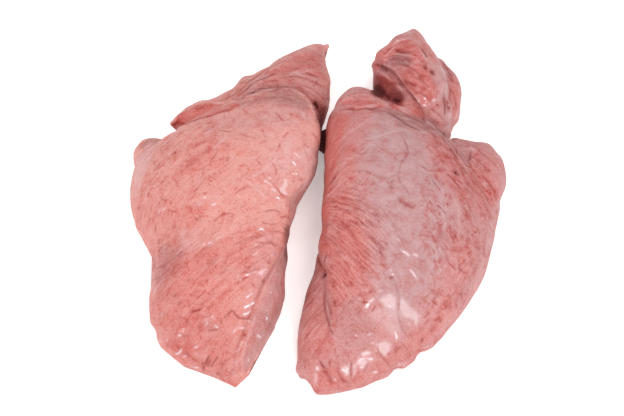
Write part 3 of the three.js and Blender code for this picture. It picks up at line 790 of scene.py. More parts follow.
# Marks: for each style, lines along which it runs.
LEFT_MARKS = {
    "fold": [
        [(179, 126), (190, 122), (200, 118), (211, 115), (222, 111), (233, 109)],
    ],
    "lip": [
        [(172, 122), (179, 113), (188, 107), (198, 103), (207, 102), (216, 103), (226, 103)],
        [(236, 99), (245, 97), (254, 95), (263, 92), (272, 90), (282, 89), (291, 89)],
        [(293, 90), (301, 94), (307, 100), (311, 107), (316, 116), (319, 124)],
        [(203, 323), (206, 320), (212, 317)],
    ],
    "crease": [
        [(232, 99), (239, 99), (245, 97), (250, 94)],
        [(256, 92), (264, 89), (273, 87), (282, 86), (291, 86)], [(268, 92), (274, 91), (279, 89)],
        [(293, 87), (302, 91), (309, 97), (313, 104), (316, 112), (320, 121), (321, 131)],
        [(231, 107), (235, 106), (239, 105)], [(306, 73), (312, 75), (319, 77)],
        [(224, 318), (229, 313), (233, 311), (236, 315), (240, 318), (250, 319)],
        [(208, 330), (213, 330), (218, 329)], [(191, 312), (196, 311), (201, 309)],
        [(203, 371), (205, 366), (207, 360), (210, 355)], [(211, 367), (214, 362), (218, 356)],
    ],
    "pleat": [
        [(236, 99), (243, 96), (250, 93), (256, 90), (262, 88), (270, 88)],
        [(241, 93), (248, 88), (255, 83), (262, 80), (270, 77), (278, 74)],
        [(246, 83), (254, 78), (262, 73), (270, 68)], [(310, 98), (316, 104), (320, 112)],
        [(312, 108), (317, 116), (320, 124)],
    ],
    "wrinkle": [
        [(232, 94), (239, 89), (247, 83), (253, 80)], [(235, 97), (243, 92), (250, 86), (257, 82)],
        [(240, 84), (244, 81), (249, 79)], [(262, 83), (270, 81), (279, 80)],
        [(284, 77), (294, 76), (304, 78), (314, 82), (322, 86)],
        [(286, 82), (297, 83), (308, 87), (318, 93), (325, 101)],
        [(300, 88), (310, 93), (318, 100), (323, 108)],
        [(264, 76), (270, 70), (278, 65), (286, 61)], [(262, 99), (272, 97), (284, 98), (294, 102)],
        [(280, 217), (286, 217), (291, 220)], [(262, 222), (269, 224), (277, 224)],
        [(284, 224), (290, 227)], [(233, 245), (240, 242), (246, 239), (253, 237), (260, 237)],
        [(256, 242), (265, 243), (272, 244), (279, 247)], [(264, 212), (272, 210), (281, 212)],
        [(268, 232), (276, 231), (286, 234)], [(156, 268), (163, 266), (172, 260), (181, 252)],
        [(154, 280), (161, 276), (170, 268)], [(158, 252), (163, 246), (169, 242)],
    ],
    "hollow": [
        [(222, 99), (234, 93), (245, 84)], [(262, 86), (276, 84), (292, 84), (308, 90)],
        [(207, 327), (216, 326)],
    ],
    "pit": [
        [(313, 102), (316, 105), (318, 108), (320, 112)], [(318, 118), (321, 124)],
    ],
    "hole": [
        [(250, 92.5), (255, 91.8)], [(315, 101), (317, 104.5), (319, 109)],
    ],
    "shadow": [
        [(318, 110), (322, 113), (322, 120)],
    ],
    "ridge": [
        [(249, 89), (256, 83), (264, 79), (273, 77), (280, 73)], [(208, 101), (222, 97), (234, 90)],
        [(262, 75), (272, 69), (284, 62), (298, 55), (314, 49)], [(286, 72), (300, 71), (316, 72)],
    ],
    "rim": [
        [(249, 88), (256, 82), (264, 79), (272, 77), (279, 73)], [(268, 73), (276, 67), (286, 61)],
        [(261, 79), (266, 76), (270, 73)], [(284, 76), (294, 74), (304, 76), (314, 79), (321, 82)],
        [(289, 232), (285, 245), (278, 262), (270, 278), (262, 295), (257, 310)],
        [(257, 310), (252, 325), (247, 340), (243, 356), (240, 366)], [(303, 68), (312, 70)],
    ],
    "streak": [
        [(302, 61), (306, 63), (310, 65)], [(295, 70), (299, 69)], [(316, 83), (318, 80)],
        [(275, 112), (279, 116), (283, 121)], [(219, 130), (224, 131), (231, 132)],
        [(240, 133), (246, 136), (250, 137), (257, 139)], [(173, 149), (178, 144), (182, 141)],
        [(157, 168), (161, 161)], [(210, 164), (213, 158), (219, 150)],
        [(174, 179), (177, 183), (178, 187)], [(160, 197), (164, 200), (167, 200)],
        [(167, 209), (171, 211), (177, 212)],
        [(214, 222), (219, 217), (224, 214), (230, 213), (233, 214), (234, 216)],
        [(235, 194), (240, 190), (249, 185)], [(276, 152), (279, 148), (280, 143)],
        [(283, 138), (286, 134), (289, 132)], [(271, 182), (276, 187), (281, 194), (285, 197)],
        [(155, 232), (156, 226)], [(150, 248), (153, 252), (156, 258)],
        [(196, 299), (202, 294), (206, 289)], [(237, 283), (243, 279), (249, 277)],
        [(221, 318), (221, 324)], [(222, 365), (227, 359)], [(311, 132), (316, 137), (319, 143)],
        [(239, 362), (240, 371)],
    ],
    "faint": [
        [(258, 110), (260, 117)], [(283, 100), (291, 103)], [(262, 130), (266, 138)],
        [(147, 177), (153, 172), (158, 167)], [(149, 221), (158, 214)], [(229, 225), (233, 219)],
        [(193, 193), (198, 187), (204, 181)], [(272, 163), (275, 168), (277, 175)],
        [(303, 145), (309, 161)], [(196, 171), (204, 167), (210, 164)], [(203, 303), (208, 300)],
        [(210, 262), (214, 258), (219, 254)], [(208, 343), (211, 338)], [(228, 361), (232, 356)],
        [(260, 205), (266, 204)], [(240, 208), (247, 204)], [(206, 276), (212, 270), (218, 264)],
        [(196, 262), (204, 254)], [(222, 296), (229, 289)], [(186, 284), (192, 277)],
        [(212, 235), (219, 230)], [(256, 159), (262, 166)],
    ],
    "smear": [
        [(194, 147), (199, 144), (204, 142)], [(300, 179), (303, 180)], [(268, 264), (271, 262)],
        [(262, 280), (265, 283)], [(158, 240), (160, 243)], [(172, 154), (176, 152)],
        [(243, 333), (246, 336)], [(186, 352), (190, 357)], [(192, 358), (197, 361)],
        [(176, 345), (180, 349)], [(216, 372), (221, 376)], [(229, 374), (234, 370)],
        [(203, 362), (203, 366), (204, 370)], [(211, 359), (209, 363), (207, 367)],
        [(224, 362), (221, 367)],
    ],
    "blot": [
        [(182, 354), (187, 352)], [(183, 338), (186, 336)], [(167, 346), (170, 343)],
        [(186, 168), (192, 162), (200, 157)], [(172, 228), (176, 226)], [(138, 206), (140, 210)],
        [(206, 152), (211, 148)], [(226, 145), (228, 144)], [(197, 216), (199, 219)],
        [(173, 295), (176, 297)], [(150, 250), (154, 256)], [(179, 302), (181, 305)],
        [(224, 370), (228, 372)], [(252, 286), (255, 284)], [(198, 330), (203, 327)],
    ],
    "scar": [
        [(250, 179), (256, 175), (263, 170), (270, 164), (275, 160), (281, 153)],
        [(241, 177), (247, 181), (254, 187), (260, 192), (265, 197)],
    ],
    # Sheens, glints and slivers: their pale is painted sheen and painted highlight, beside real gloss.
    "sheen": [
        [(139, 153), (146, 147), (157, 141)], [(136, 163), (142, 156), (150, 149)],
        [(138, 173), (145, 163), (152, 155)], [(137, 188), (142, 177), (148, 168)],
        [(163, 146), (168, 140), (173, 134)], [(205, 134), (212, 130)],
        [(212, 149), (219, 143), (226, 138)], [(176, 258), (182, 248), (190, 241)],
        [(153, 296), (158, 286), (166, 278)], [(207, 247), (214, 241), (222, 236)],
    ],
    "glint": [
        [(293, 153), (296, 154), (298, 156)], [(292, 161), (294, 163), (296, 166)],
        [(295, 172), (297, 175)], [(264, 180), (268, 183), (272, 185)], [(271, 188), (276, 191)],
        [(198, 206), (201, 203)], [(211, 206), (216, 203)], [(159, 213), (160, 210)],
        [(162, 210), (166, 208)], [(259, 230), (262, 229), (265, 231)], [(208, 244), (213, 242)],
        [(245, 276), (251, 273), (257, 271)], [(257, 274), (268, 268)], [(260, 275), (264, 272)],
        [(246, 298), (250, 295), (254, 292)], [(244, 308), (250, 305)], [(250, 305), (255, 302)],
        [(243, 315), (248, 313), (252, 309)], [(233, 332), (238, 328)], [(238, 328), (246, 328)],
        [(214, 325), (218, 328)], [(175, 354), (179, 353), (182, 349)], [(257, 335), (261, 338)],
        [(266, 317), (267, 320)],
    ],
    "sliver": [
        [(300, 156), (300, 159)], [(269, 178), (271, 178)], [(276, 197), (280, 199)],
        [(203, 198), (206, 197)], [(255, 245), (257, 244)], [(252, 256), (258, 252)],
        [(251, 270), (253, 268)], [(239, 281), (242, 279)], [(247, 321), (250, 321)],
        [(240, 346), (243, 341)], [(236, 352), (240, 348)], [(235, 364), (237, 360)],
        [(231, 371), (234, 373)], [(213, 315), (212, 318)], [(206, 325), (208, 321)],
        [(166, 341), (168, 339)], [(178, 336), (181, 335)], [(194, 348), (198, 346)],
        [(183, 357), (187, 355)], [(195, 366), (199, 368)], [(270, 293), (272, 292)],
        [(248, 361), (249, 359)], [(203, 245), (205, 244)], [(247, 373), (249, 371)],
    ],
}

RIGHT_MARKS = {
    "crease": [
        [(341, 110), (350, 109), (357, 110), (364, 108), (370, 109), (376, 108), (381, 106)],
        [(388, 112), (397, 118), (408, 126)], [(398, 110), (410, 116), (422, 123)],
        [(449, 145), (455, 152), (460, 159)], [(465, 165), (470, 167), (475, 173)],
        [(446, 173), (451, 177), (456, 183), (462, 190)], [(455, 171), (457, 174)],
        [(325, 277), (325, 288), (324, 300), (326, 312), (328, 322), (331, 330), (333, 335)],
        [(318, 258), (321, 265), (324, 271), (326, 275)], [(320, 361), (322, 365), (325, 369)],
        [(351, 362), (351, 370), (351, 377)], [(421, 49), (423, 53), (426, 57)],
        [(420, 104), (421, 109), (424, 116)], [(436, 103), (438, 106)],
    ],
    "slit": [
        [(376, 65), (380, 67), (384, 69), (388, 72)], [(395, 50), (401, 51), (407, 52)],
        [(424, 65), (426, 69)], [(431, 70), (433, 74)], [(394, 98), (399, 101)],
    ],
    "pleat": [
        [(388, 56), (396, 55), (404, 57), (411, 60)], [(388, 60), (396, 60), (405, 62)],
        [(387, 111), (397, 117), (409, 125), (420, 131)], [(396, 109), (408, 115), (420, 122)],
        [(442, 137), (447, 144), (453, 152), (458, 160)], [(421, 48), (424, 54), (427, 59)],
        [(448, 72), (452, 76)], [(443, 96), (445, 106), (445, 116)],
        [(326, 254), (324, 262), (325, 270)],
    ],
    "fold": [
        [(377, 65), (384, 68), (390, 72), (395, 76), (399, 80), (402, 85), (406, 89)],
        [(406, 89), (410, 94), (414, 99), (418, 104), (421, 110)],
        [(443, 134), (449, 141), (456, 149), (461, 157)],
    ],
    "wrinkle": [
        [(410, 118), (421, 122), (432, 127)], [(420, 128), (430, 132), (440, 138)],
        [(424, 117), (434, 124), (441, 132)], [(432, 134), (438, 142)],
        [(362, 92), (372, 94), (382, 98)], [(346, 96), (354, 93), (362, 92)],
        [(470, 156), (480, 163), (490, 172)], [(478, 150), (488, 158), (496, 166)],
        [(474, 180), (482, 190), (490, 202)], [(482, 176), (490, 184), (496, 194)],
        [(466, 188), (474, 198), (482, 210)], [(456, 186), (464, 198), (470, 208)],
        [(452, 156), (458, 164), (463, 174)], [(460, 150), (464, 156), (468, 160)],
        [(302, 312), (309, 304), (317, 296)], [(304, 326), (311, 317), (319, 308)],
        [(303, 300), (310, 293), (316, 288)], [(304, 340), (311, 330), (319, 322)],
        [(338, 372), (343, 380), (350, 383)], [(364, 372), (368, 364)],
        [(384, 56), (389, 50), (394, 46)], [(381, 58), (392, 57), (403, 58), (412, 62)],
        [(386, 62), (396, 63), (406, 66)], [(404, 81), (410, 83), (417, 86)],
        [(410, 76), (420, 80), (430, 88)], [(414, 92), (422, 94), (430, 100)],
        [(404, 64), (414, 70), (424, 78)], [(444, 64), (450, 74), (455, 84)],
        [(450, 86), (455, 97), (456, 110)], [(443, 92), (446, 104), (444, 116)],
        [(430, 108), (438, 114), (446, 122)],
    ],
    "hollow": [
        [(352, 97), (362, 95), (372, 98)], [(390, 61), (400, 61), (410, 64)],
        [(388, 55), (398, 52), (410, 52)], [(447, 78), (451, 92), (449, 108)],
        [(466, 150), (468, 160)], [(324, 268), (325, 275)], [(418, 108), (428, 118), (438, 128)],
    ],
    "shadow": [
        [(383, 94), (390, 98)], [(392, 98), (400, 101)], [(380, 66), (383, 68)],
    ],
    "pit": [
        [(392, 99), (400, 101)], [(322, 276), (326, 274)], [(455, 172), (457, 173)],
    ],
    "lip": [
        [(373, 62), (380, 63), (388, 66), (395, 71), (400, 77), (405, 85)],
        [(405, 85), (411, 92), (417, 100), (423, 110)],
        [(376, 70), (382, 73), (388, 78), (394, 82)],
        [(443, 141), (448, 146), (453, 151), (458, 157), (463, 163), (467, 169)],
        [(386, 102), (395, 105), (404, 109), (412, 113)],
        [(346, 106), (356, 107), (366, 106), (378, 104)],
    ],
    "ridge": [
        [(387, 90), (391, 86), (397, 86), (402, 91)],
        [(386, 103), (396, 106), (406, 110), (414, 114)],
        [(382, 55), (388, 47), (396, 41), (406, 39), (416, 42), (421, 49)],
        [(380, 61), (392, 62), (404, 68), (414, 76)], [(422, 50), (428, 60), (434, 70)],
        [(438, 62), (443, 72), (444, 84), (441, 94)],
        [(452, 138), (462, 147), (470, 156), (474, 164)], [(448, 100), (450, 112), (447, 124)],
    ],
    "rim": [
        [(392, 47), (397, 42), (404, 40), (412, 40), (418, 43), (421, 48)],
        [(418, 47), (422, 53), (427, 60), (433, 66), (438, 72)], [(384, 57), (390, 51), (394, 47)],
        [(438, 62), (442, 72), (443, 84), (441, 93), (438, 101)],
        [(424, 120), (430, 124), (436, 129)], [(401, 118), (412, 120), (424, 126)],
        [(397, 53), (406, 54), (414, 57)],
        [(349, 105), (356, 106.5), (363, 106.5), (370, 106), (376, 105), (380, 103)],
        [(351, 106.5), (358, 107.5), (366, 107), (375, 106)],
    ],
    "cord": [
        [(337, 143), (343, 138), (350, 132), (356, 128), (361, 125)],
        [(361, 125), (369, 119), (379, 114)],
        [(360, 140), (374, 137), (386, 134), (395, 131), (403, 131)],
        [(333, 183), (338, 177), (343, 171), (349, 166)], [(329, 196), (334, 190), (340, 184)],
        [(440, 208), (444, 218), (448, 230)], [(458, 206), (459, 220), (458, 238)],
        [(332, 334), (335, 338), (341, 341)], [(328, 290), (327, 302), (329, 314), (332, 324)],
        [(393, 331), (396, 338), (397, 343)], [(326, 258), (328, 268)],
    ],
    "vein": [
        [(401, 134), (404, 140), (407, 147), (408, 152), (405, 158), (401, 164), (398, 174)],
        [(398, 174), (388, 178), (378, 177), (368, 172), (360, 171), (350, 171)],
        [(398, 174), (400, 182), (406, 189), (410, 198)], [(395, 178), (391, 184), (391, 191)],
        [(394, 280), (397, 289), (399, 299), (398, 311), (399, 320), (403, 330), (409, 337)],
        [(376, 346), (380, 354), (386, 361), (392, 368)], [(352, 150), (360, 154), (368, 152)],
    ],
    "smear": [
        [(399, 199), (404, 203), (409, 206)], [(391, 186), (391, 190)],
        [(346, 109), (352, 109), (358, 110), (364, 108)],
        [(364, 108), (370, 109), (376, 108), (380, 107)], [(328, 186), (333, 180), (336, 176)],
        [(391, 276), (392, 279)], [(421, 342), (423, 338)], [(438, 318), (441, 322)],
        [(330, 312), (331, 313)], [(350, 281), (352, 286)], [(334, 300), (336, 307)],
        [(333, 280), (334, 288)], [(323, 370), (328, 375), (332, 384)], [(340, 378), (347, 383)],
        [(424, 66), (426, 70)], [(431, 70), (433, 73)], [(422, 60), (425, 63)],
        [(423, 87), (426, 90)], [(443, 63), (449, 72)], [(394, 50), (402, 49), (412, 52)],
        [(404, 81), (411, 84), (417, 87)], [(388, 60), (396, 58), (406, 60)],
        [(390, 65), (400, 64), (409, 66)], [(418, 76), (424, 82)], [(408, 70), (414, 76)],
        [(448, 74), (453, 82)], [(446, 100), (449, 110)], [(454, 96), (456, 106)],
        [(436, 142), (437, 148)], [(432, 133), (438, 138)], [(440, 135), (444, 138)],
    ],
    "blot": [
        [(440, 238), (442, 233)], [(454, 232), (454, 240)], [(446, 240), (449, 240)],
        [(444, 248), (445, 249)], [(453, 249), (456, 249)], [(446, 257), (448, 256)],
        [(467, 230), (469, 234)], [(483, 253), (485, 256)], [(461, 236), (463, 239)],
        [(482, 214), (485, 216)], [(470, 263), (475, 267)], [(478, 246), (479, 251)],
        [(460, 293), (463, 296)], [(452, 215), (454, 219)], [(466, 216), (468, 219)],
        [(496, 209), (497, 213)], [(446, 154), (450, 160)], [(456, 168), (458, 176)],
        [(440, 158), (444, 163)], [(462, 158), (465, 166)], [(476, 158), (480, 163)],
        [(484, 168), (490, 173)], [(470, 178), (474, 184)], [(452, 184), (458, 190)],
        [(434, 160), (438, 166)], [(430, 330), (436, 327)], [(446, 306), (452, 309)],
        [(407, 357), (411, 354)], [(354, 208), (357, 210)], [(351, 284), (354, 285)],
        [(324, 242), (325, 245)], [(338, 251), (340, 254)], [(454, 284), (458, 287)],
    ],
    "streak": [
        [(397, 196), (403, 202), (409, 206), (412, 208), (415, 204)], [(333, 207), (339, 206)],
        [(338, 203), (350, 205)], [(345, 211), (351, 214)], [(357, 208), (366, 213)],
        [(333, 220), (337, 221)], [(337, 232), (341, 237)], [(341, 221), (348, 227)],
        [(354, 242), (358, 246)], [(352, 250), (358, 257)], [(358, 250), (366, 259)],
        [(352, 256), (357, 262)], [(364, 250), (371, 258)], [(368, 220), (376, 228)],
        [(372, 214), (380, 223)], [(376, 240), (382, 246)], [(344, 260), (350, 269)],
        [(344, 281), (348, 287)], [(363, 302), (371, 303)], [(329, 360), (330, 365)],
        [(345, 294), (348, 298)], [(438, 205), (446, 214)], [(432, 180), (440, 190)],
        [(420, 165), (430, 172)], [(448, 262), (456, 270)], [(430, 290), (436, 296)],
        [(432, 300), (438, 306)], [(458, 268), (466, 274)], [(476, 226), (480, 234)],
        [(488, 222), (492, 232)], [(424, 318), (430, 312)], [(446, 330), (450, 324)],
        [(402, 344), (408, 350)], [(372, 312), (376, 306)],
    ],
    # Sheens, glints, beads and slivers: their pale is painted sheen and painted highlight, beside real
    # gloss.
    "sheen": [
        [(404, 34), (409, 32), (413, 36)], [(444, 74), (446, 79)], [(443, 83), (443, 87)],
        [(449, 82), (450, 86)], [(448, 96), (450, 108), (448, 120)], [(445, 128), (449, 126)],
        [(455, 120), (458, 110)], [(340, 165), (347, 163)], [(430, 126), (437, 130)],
        [(484, 182), (486, 185)], [(496, 183), (499, 186)], [(470, 146), (474, 152)],
        [(366, 310), (369, 303), (375, 298)], [(405, 262), (409, 267)], [(426, 348), (433, 346)],
        [(402, 365), (405, 363)], [(466, 300), (472, 294)], [(480, 278), (485, 268)],
    ],
    "glint": [
        [(402, 251), (406, 253), (410, 256)], [(413, 254), (418, 256)], [(391, 274), (394, 275)],
        [(418, 100), (419, 103)], [(424, 98), (426, 99)], [(432, 101), (436, 99)],
        [(423, 105), (426, 106)],
    ],
    "sheen_bead": [
        [(365, 309), (369, 303), (375, 298)], [(361, 354), (366, 353), (371, 353)],
        [(358, 362), (362, 363), (366, 365)], [(360, 367), (365, 367)], [(368, 359), (373, 359)],
        [(373, 372), (377, 372)], [(341, 369), (345, 371), (348, 375)], [(346, 367), (348, 371)],
        [(353, 365), (354, 370), (354, 376)], [(315, 373), (316, 378), (315, 383)],
        [(317, 366), (318, 371)], [(380, 344), (384, 348)], [(384, 344), (388, 350)],
        [(380, 350), (386, 355)], [(376, 343), (378, 349)], [(409, 322), (411, 327)],
        [(414, 320), (417, 325)], [(395, 331), (397, 339)],
    ],
    "sliver": [
        [(397, 239), (400, 241)], [(409, 269), (413, 273), (417, 279)], [(390, 269), (392, 271)],
        [(378, 292), (382, 290)], [(330, 326), (332, 330)], [(334, 379), (336, 380)],
        [(397, 42), (399, 41)], [(419, 316), (421, 316)], [(368, 335), (371, 334)],
        [(355, 335), (357, 336)], [(403, 366), (405, 364)], [(388, 294), (392, 296)],
    ],
}

Lung = namedtuple("Lung", "lobes nudges comb fibres zones marks seed")
LEFT = Lung(LEFT_LOBES, LEFT_NUDGES, LEFT_COMB, LEFT_FIBRES, LEFT_ZONES, LEFT_MARKS, 3)
RIGHT = Lung(RIGHT_LOBES, RIGHT_NUDGES, RIGHT_COMB, RIGHT_FIBRES, RIGHT_ZONES, RIGHT_MARKS, 11)


class PhotoCamera:
    """The pinhole camera of the photograph: it looks down on the target from the near side."""

    def __init__(self):
        middle = (CAD_LOW + CAD_HIGH) / 2
        target = Vector((middle.x, middle.y, 0)) + TARGET_OFFSET
        level, drop = math.cos(CAMERA_ELEVATION), math.sin(CAMERA_ELEVATION)
        self.ahead = np.array((0, level, -drop))
        self.up = np.array((0, drop, level))
        self.right = np.array((1.0, 0, 0))
        self.focal = PIXELS_PER_METRE * CAMERA_DISTANCE
        self.place = np.array(target) - self.ahead * CAMERA_DISTANCE

    def pixels(self, points):
        """Pixel of each point: its offset from the camera over its depth, times the focal length."""
        away = points - self.place
        depth = away @ self.ahead
        u = FRAME_WIDTH / 2 + self.focal * (away @ self.right) / depth
        v = FRAME_HEIGHT / 2 - self.focal * (away @ self.up) / depth
        return np.stack([u, v], 1)

    def ray(self, pixel):
        """Direction in which the camera sees a pixel."""
        across = (pixel[0] - FRAME_WIDTH / 2) / self.focal
        over = (FRAME_HEIGHT / 2 - pixel[1]) / self.focal
        return Vector(self.ahead + self.right * across + self.up * over).normalized()


def add_object(name, data):
    """A new object in the scene, at the origin."""
    made = bpy.data.objects.new(name, data)
    bpy.context.scene.collection.objects.link(made)
    return made


def smooth_rows(rows, at):
    """Catmull-Rom curve through the rows of a table, all columns at once, for places from 0 to 1."""
    table = np.array(rows, float)
    last = len(table) - 1
    place = at * last
    i = np.minimum(place.astype(int), last - 1)
    t = (place - i)[:, None]
    a, b, c, d = (table[np.clip(i + k, 0, last)] for k in (-1, 0, 1, 2))
    return b + 0.5 * t * (c - a + t * (2 * a - 5 * b + 4 * c - d + t * (3 * (b - c) + d - a)))


def lobe_surface(lobe):
    """Grid of a lobe. Down the grid goes its row of sections; across goes an angle a round each one.

    x = crest + |cos a| (edge - crest). Above the edge z = edge + (crest - edge) sin(a) ^ taper,
    below it z = edge - (edge - low) |sin a| ^ under, but never under the base.
    """
    rows = smooth_rows(lobe.rows, np.linspace(0, 1, LOFT_RINGS))
    y, left, right, crest_x, crest_z, left_z, right_z = (c[:, None] for c in rows.T)
    turns = np.arange(LOFT_AROUND)[None, :] / LOFT_AROUND
    angle = 2 * np.pi * turns - 0.5 * EDGE_CROWDING * np.sin(4 * np.pi * turns)
    across, rise = np.cos(angle), np.sin(angle)
    is_left = across < 0
    taper, under = (np.where(is_left, pair[0], pair[1]) for pair in (lobe.taper, lobe.under))
    edge_x, edge_z = np.where(is_left, left, right), np.where(is_left, left_z, right_z)
    x = crest_x + np.abs(across) * (edge_x - crest_x)
    top = edge_z + (crest_z - edge_z) * np.abs(rise) ** taper
    low = np.maximum(edge_z - (edge_z - lobe.base + FLAT_DEPTH) * np.abs(rise) ** under, lobe.base)
    z = np.where(rise >= 0, top, low)
    return np.stack([x, y + 0 * x, z], -1) * MM


def closed_grid(grid):
    """Points and faces of a grid that is closed round its columns, with a pole at each end."""
    rings, around, _ = grid.shape
    points = np.concatenate([grid.reshape(-1, 3), grid[0].mean(0)[None], grid[-1].mean(0)[None]])
    j = np.arange(around)
    k = (j + 1) % around
    near = (np.arange(rings - 1) * around)[:, None]
    quads = np.stack([near + j, near + k, near + around + k, near + around + j], -1).reshape(-1, 4)
    last = (rings - 1) * around
    first_pole = rings * around
    fans = np.concatenate([
        np.stack([0 * j + first_pole, k, j], 1),
        np.stack([last + j, last + k, 0 * j + first_pole + 1], 1),
    ])
    return points, quads.tolist() + fans.tolist()


def lung_shift():
    """The tables' frame to the CAD's: the middle of all lobes goes to the middle of the CAD box."""
    every = np.concatenate([
        lobe_surface(lobe).reshape(-1, 3) for lobe in (*LEFT_LOBES.values(), *RIGHT_LOBES.values())
    ])
    middle = (np.array(CAD_LOW) + np.array(CAD_HIGH)) / 2 - (every.min(0) + every.max(0)) / 2
    return np.array((middle[0], middle[1], 0))


def modified(mesh, kind, group=None, **settings):
    """A new mesh: the given one after a modifier, which may work on a group of its points."""
    holder = add_object("holder", mesh)
    modifier = holder.modifiers.new("modifier", kind)
    if group is not None:
        vertex_group = holder.vertex_groups.new(name="weights")
        vertex_group.add(group.tolist(), 1.0, "REPLACE")
        modifier.vertex_group = vertex_group.name
    for name, value in settings.items():
        setattr(modifier, name, value)
    graph = bpy.context.evaluated_depsgraph_get()
    result = bpy.data.meshes.new_from_object(holder.evaluated_get(graph))
    bpy.data.objects.remove(holder)
    bpy.data.meshes.remove(mesh)
    return result


def fused_mesh(lobes, voxel):
    """A lung's lobes grown together: their closed grids in one mesh, remade from a field of voxels."""
    shift = lung_shift()
    points, faces = [], []
    count = 0
    for lobe in lobes:
        lobe_points, lobe_faces = closed_grid(lobe_surface(lobe))
        points.append(lobe_points + shift)
        faces += [[count + i for i in face] for face in lobe_faces]
        count += len(lobe_points)
    rough = bpy.data.meshes.new("rough")
    rough.from_pydata(np.concatenate(points).tolist(), [], faces)
    return modified(rough, "REMESH", mode="VOXEL", voxel_size=voxel)


def ease(values, low, high):
    """0 at low and 1 at high, with a smooth step t t (3 - 2 t) between."""
    t = np.clip((values - low) / (high - low), 0, 1)
    return t * t * (3 - 2 * t)


class Skin:
    """A lung's surface as arrays: points, links, normals and named layers with a value at each point.

    The material reads LAYERS. The layer stria only steers the fibres.
    """

    LAYERS = (
        "flush", "mauve_and_sheen", "dark_tone_and_shade", "pale", "shade", "blood", "grain", "net", "gloss", "comb", "phase",
    )

    def __init__(self, mesh, camera):
        self.mesh = mesh
        self.camera = camera
        self.points = self.read(mesh.vertices, "co", 3)
        self.quads = self.read(mesh.loops, "vertex_index", 1, int).reshape(-1, 4)
        self.edges = self.read(mesh.edges, "vertices", 2, int)
        self.degree = np.bincount(self.edges.ravel(), minlength=len(self.points))[:, None]
        self.layers = {name: np.zeros(len(self.points)) for name in (*self.LAYERS, "stria")}
        self.height = np.zeros(len(self.points))

    @staticmethod
    def read(items, name, width, kind=float):
        """An attribute of all a mesh's items as an array, a row for each item."""
        values = np.zeros(len(items) * width, np.int32 if kind is int else np.float32)
        items.foreach_get(name, values)
        return values.reshape(-1, width).astype(kind)

    def write(self):
        """Puts the points back into the mesh."""
        self.mesh.vertices.foreach_set("co", self.points.astype(np.float32).ravel())
        self.mesh.update()

    def relax(self, rounds, pull=0.5):
        """Moves each point towards the mean of its neighbours, a number of times."""
        a, b = self.edges.T
        for _ in range(rounds):
            total = np.stack([
                np.bincount(a, self.points[b, k], len(self.points))
                + np.bincount(b, self.points[a, k], len(self.points))
                for k in range(3)
            ], 1)
            self.points += pull * (total / self.degree - self.points)

    def measure(self):
        """Takes the normals, the pixels and a search tree from the present shape."""
        self.write()
        self.normals = self.read(self.mesh.vertices, "normal", 3)
        self.pixels = self.camera.pixels(self.points)
        self.facing = ease(-(self.normals @ self.camera.ahead), *FACING)
        self.tree = BVHTree.FromPolygons(self.points.tolist(), self.quads.tolist())

    def nudge(self, pixel, reach, shift):
        """Moves what lies near a pixel over the table, by shift times exp(-(distance / reach)^2)."""
        away = np.linalg.norm(self.pixels - pixel, axis=1) / reach
        across = np.array((shift[0], -shift[1] / math.sin(CAMERA_ELEVATION))) / PIXELS_PER_METRE
        self.points[:, :2] += np.exp(-(away**2))[:, None] * across

    def loosen_borders(self, seed):
        """Gives each point a smooth random pair, by which the zones' borders waver."""
        self.waver = np.stack([
            lattice_noise(self.points, WAVER_SIZE, seed + extra) for extra in WAVER_SEEDS
        ], 1)

    def on_surface(self, outline):
        """The path that a line of pixels draws on the surface: each pixel's ray, to where it lands."""
        count = max(3, int(path_length(outline) / MARK_STEP))
        line = smooth_rows(outline, np.linspace(0, 1, count))
        hits = [self.tree.ray_cast(Vector(self.camera.place), self.camera.ray(p))[0] for p in line]
        return np.array([h for h in hits if h is not None]).reshape(-1, 3)

    def combed(self, strokes):
        """A heading along the surface at each point: the mean of short strokes' own headings.

        A stroke weighs 1 / (distance^2 + reach^2)^2, and the mean loses its part along the normal.
        """
        total = np.zeros_like(self.points)
        for stroke in strokes:
            path = self.on_surface(stroke)
            way = path[-1] - path[0]
            way /= np.linalg.norm(way) * (1 if way[0] > 0 else -1)
            away = ((self.points - path.mean(0)) ** 2).sum(1)
            total += way / (away[:, None] + (COMB_REACH * MM) ** 2) ** 2
        total -= self.normals * (total * self.normals).sum(1)[:, None]
        return total / np.maximum(np.linalg.norm(total, axis=1), TINY)[:, None]

    def smear(self, seed, heading, size, reach, samples):
        """Noise drawn out along a heading into fibres, with a mean of 0 and a deviation of 1.

        It is the mean of the noise at places along a point's heading, up to reach each way.
        """
        values = sum(
            lattice_noise(self.points + heading * (along * MM), size, seed)
            for along in np.linspace(-reach, reach, samples)
        )
        return (values - values.mean()) / values.std()

    def mark(self, path, style):
        """Presses a line into the surface: exp(-(distance / width)^2), eased out at the path's ends."""
        if len(path) < 2:
            return
        reach = MARK_REACH * style.width * MM
        inside = ((self.points > path.min(0) - reach) & (self.points < path.max(0) + reach)).all(1)
        chosen = np.flatnonzero(inside)
        if not len(chosen):
            return
        start, step = path[:-1], path[1:] - path[:-1]
        length = np.maximum((step**2).sum(1), TINY)
        offset = self.points[chosen][:, None, :] - start[None]
        t = np.clip((offset * step).sum(2) / length, 0, 1)
        distance = np.linalg.norm(offset - t[..., None] * step, axis=2)
        nearest = distance.argmin(1)
        rows = np.arange(len(chosen))
        along = (nearest + t[rows, nearest]) / len(step)
        end = np.clip(MARK_RISE * np.minimum(along, 1 - along) + MARK_END, 0, 1)
        press = end * np.exp(-((distance[rows, nearest] / (style.width * MM)) ** 2))
        noise = lattice_noise(self.points[chosen], PRESS_SIZE, PRESS_SEED)
        press *= PRESS_MEAN + PRESS_SPREAD * noise
        self.height[chosen] = farther(self.height[chosen], -press * style.depth * MM)
        for name in ("shade", "blood", "pale", "gloss"):
            self.cover(name, press * getattr(style, name), chosen)

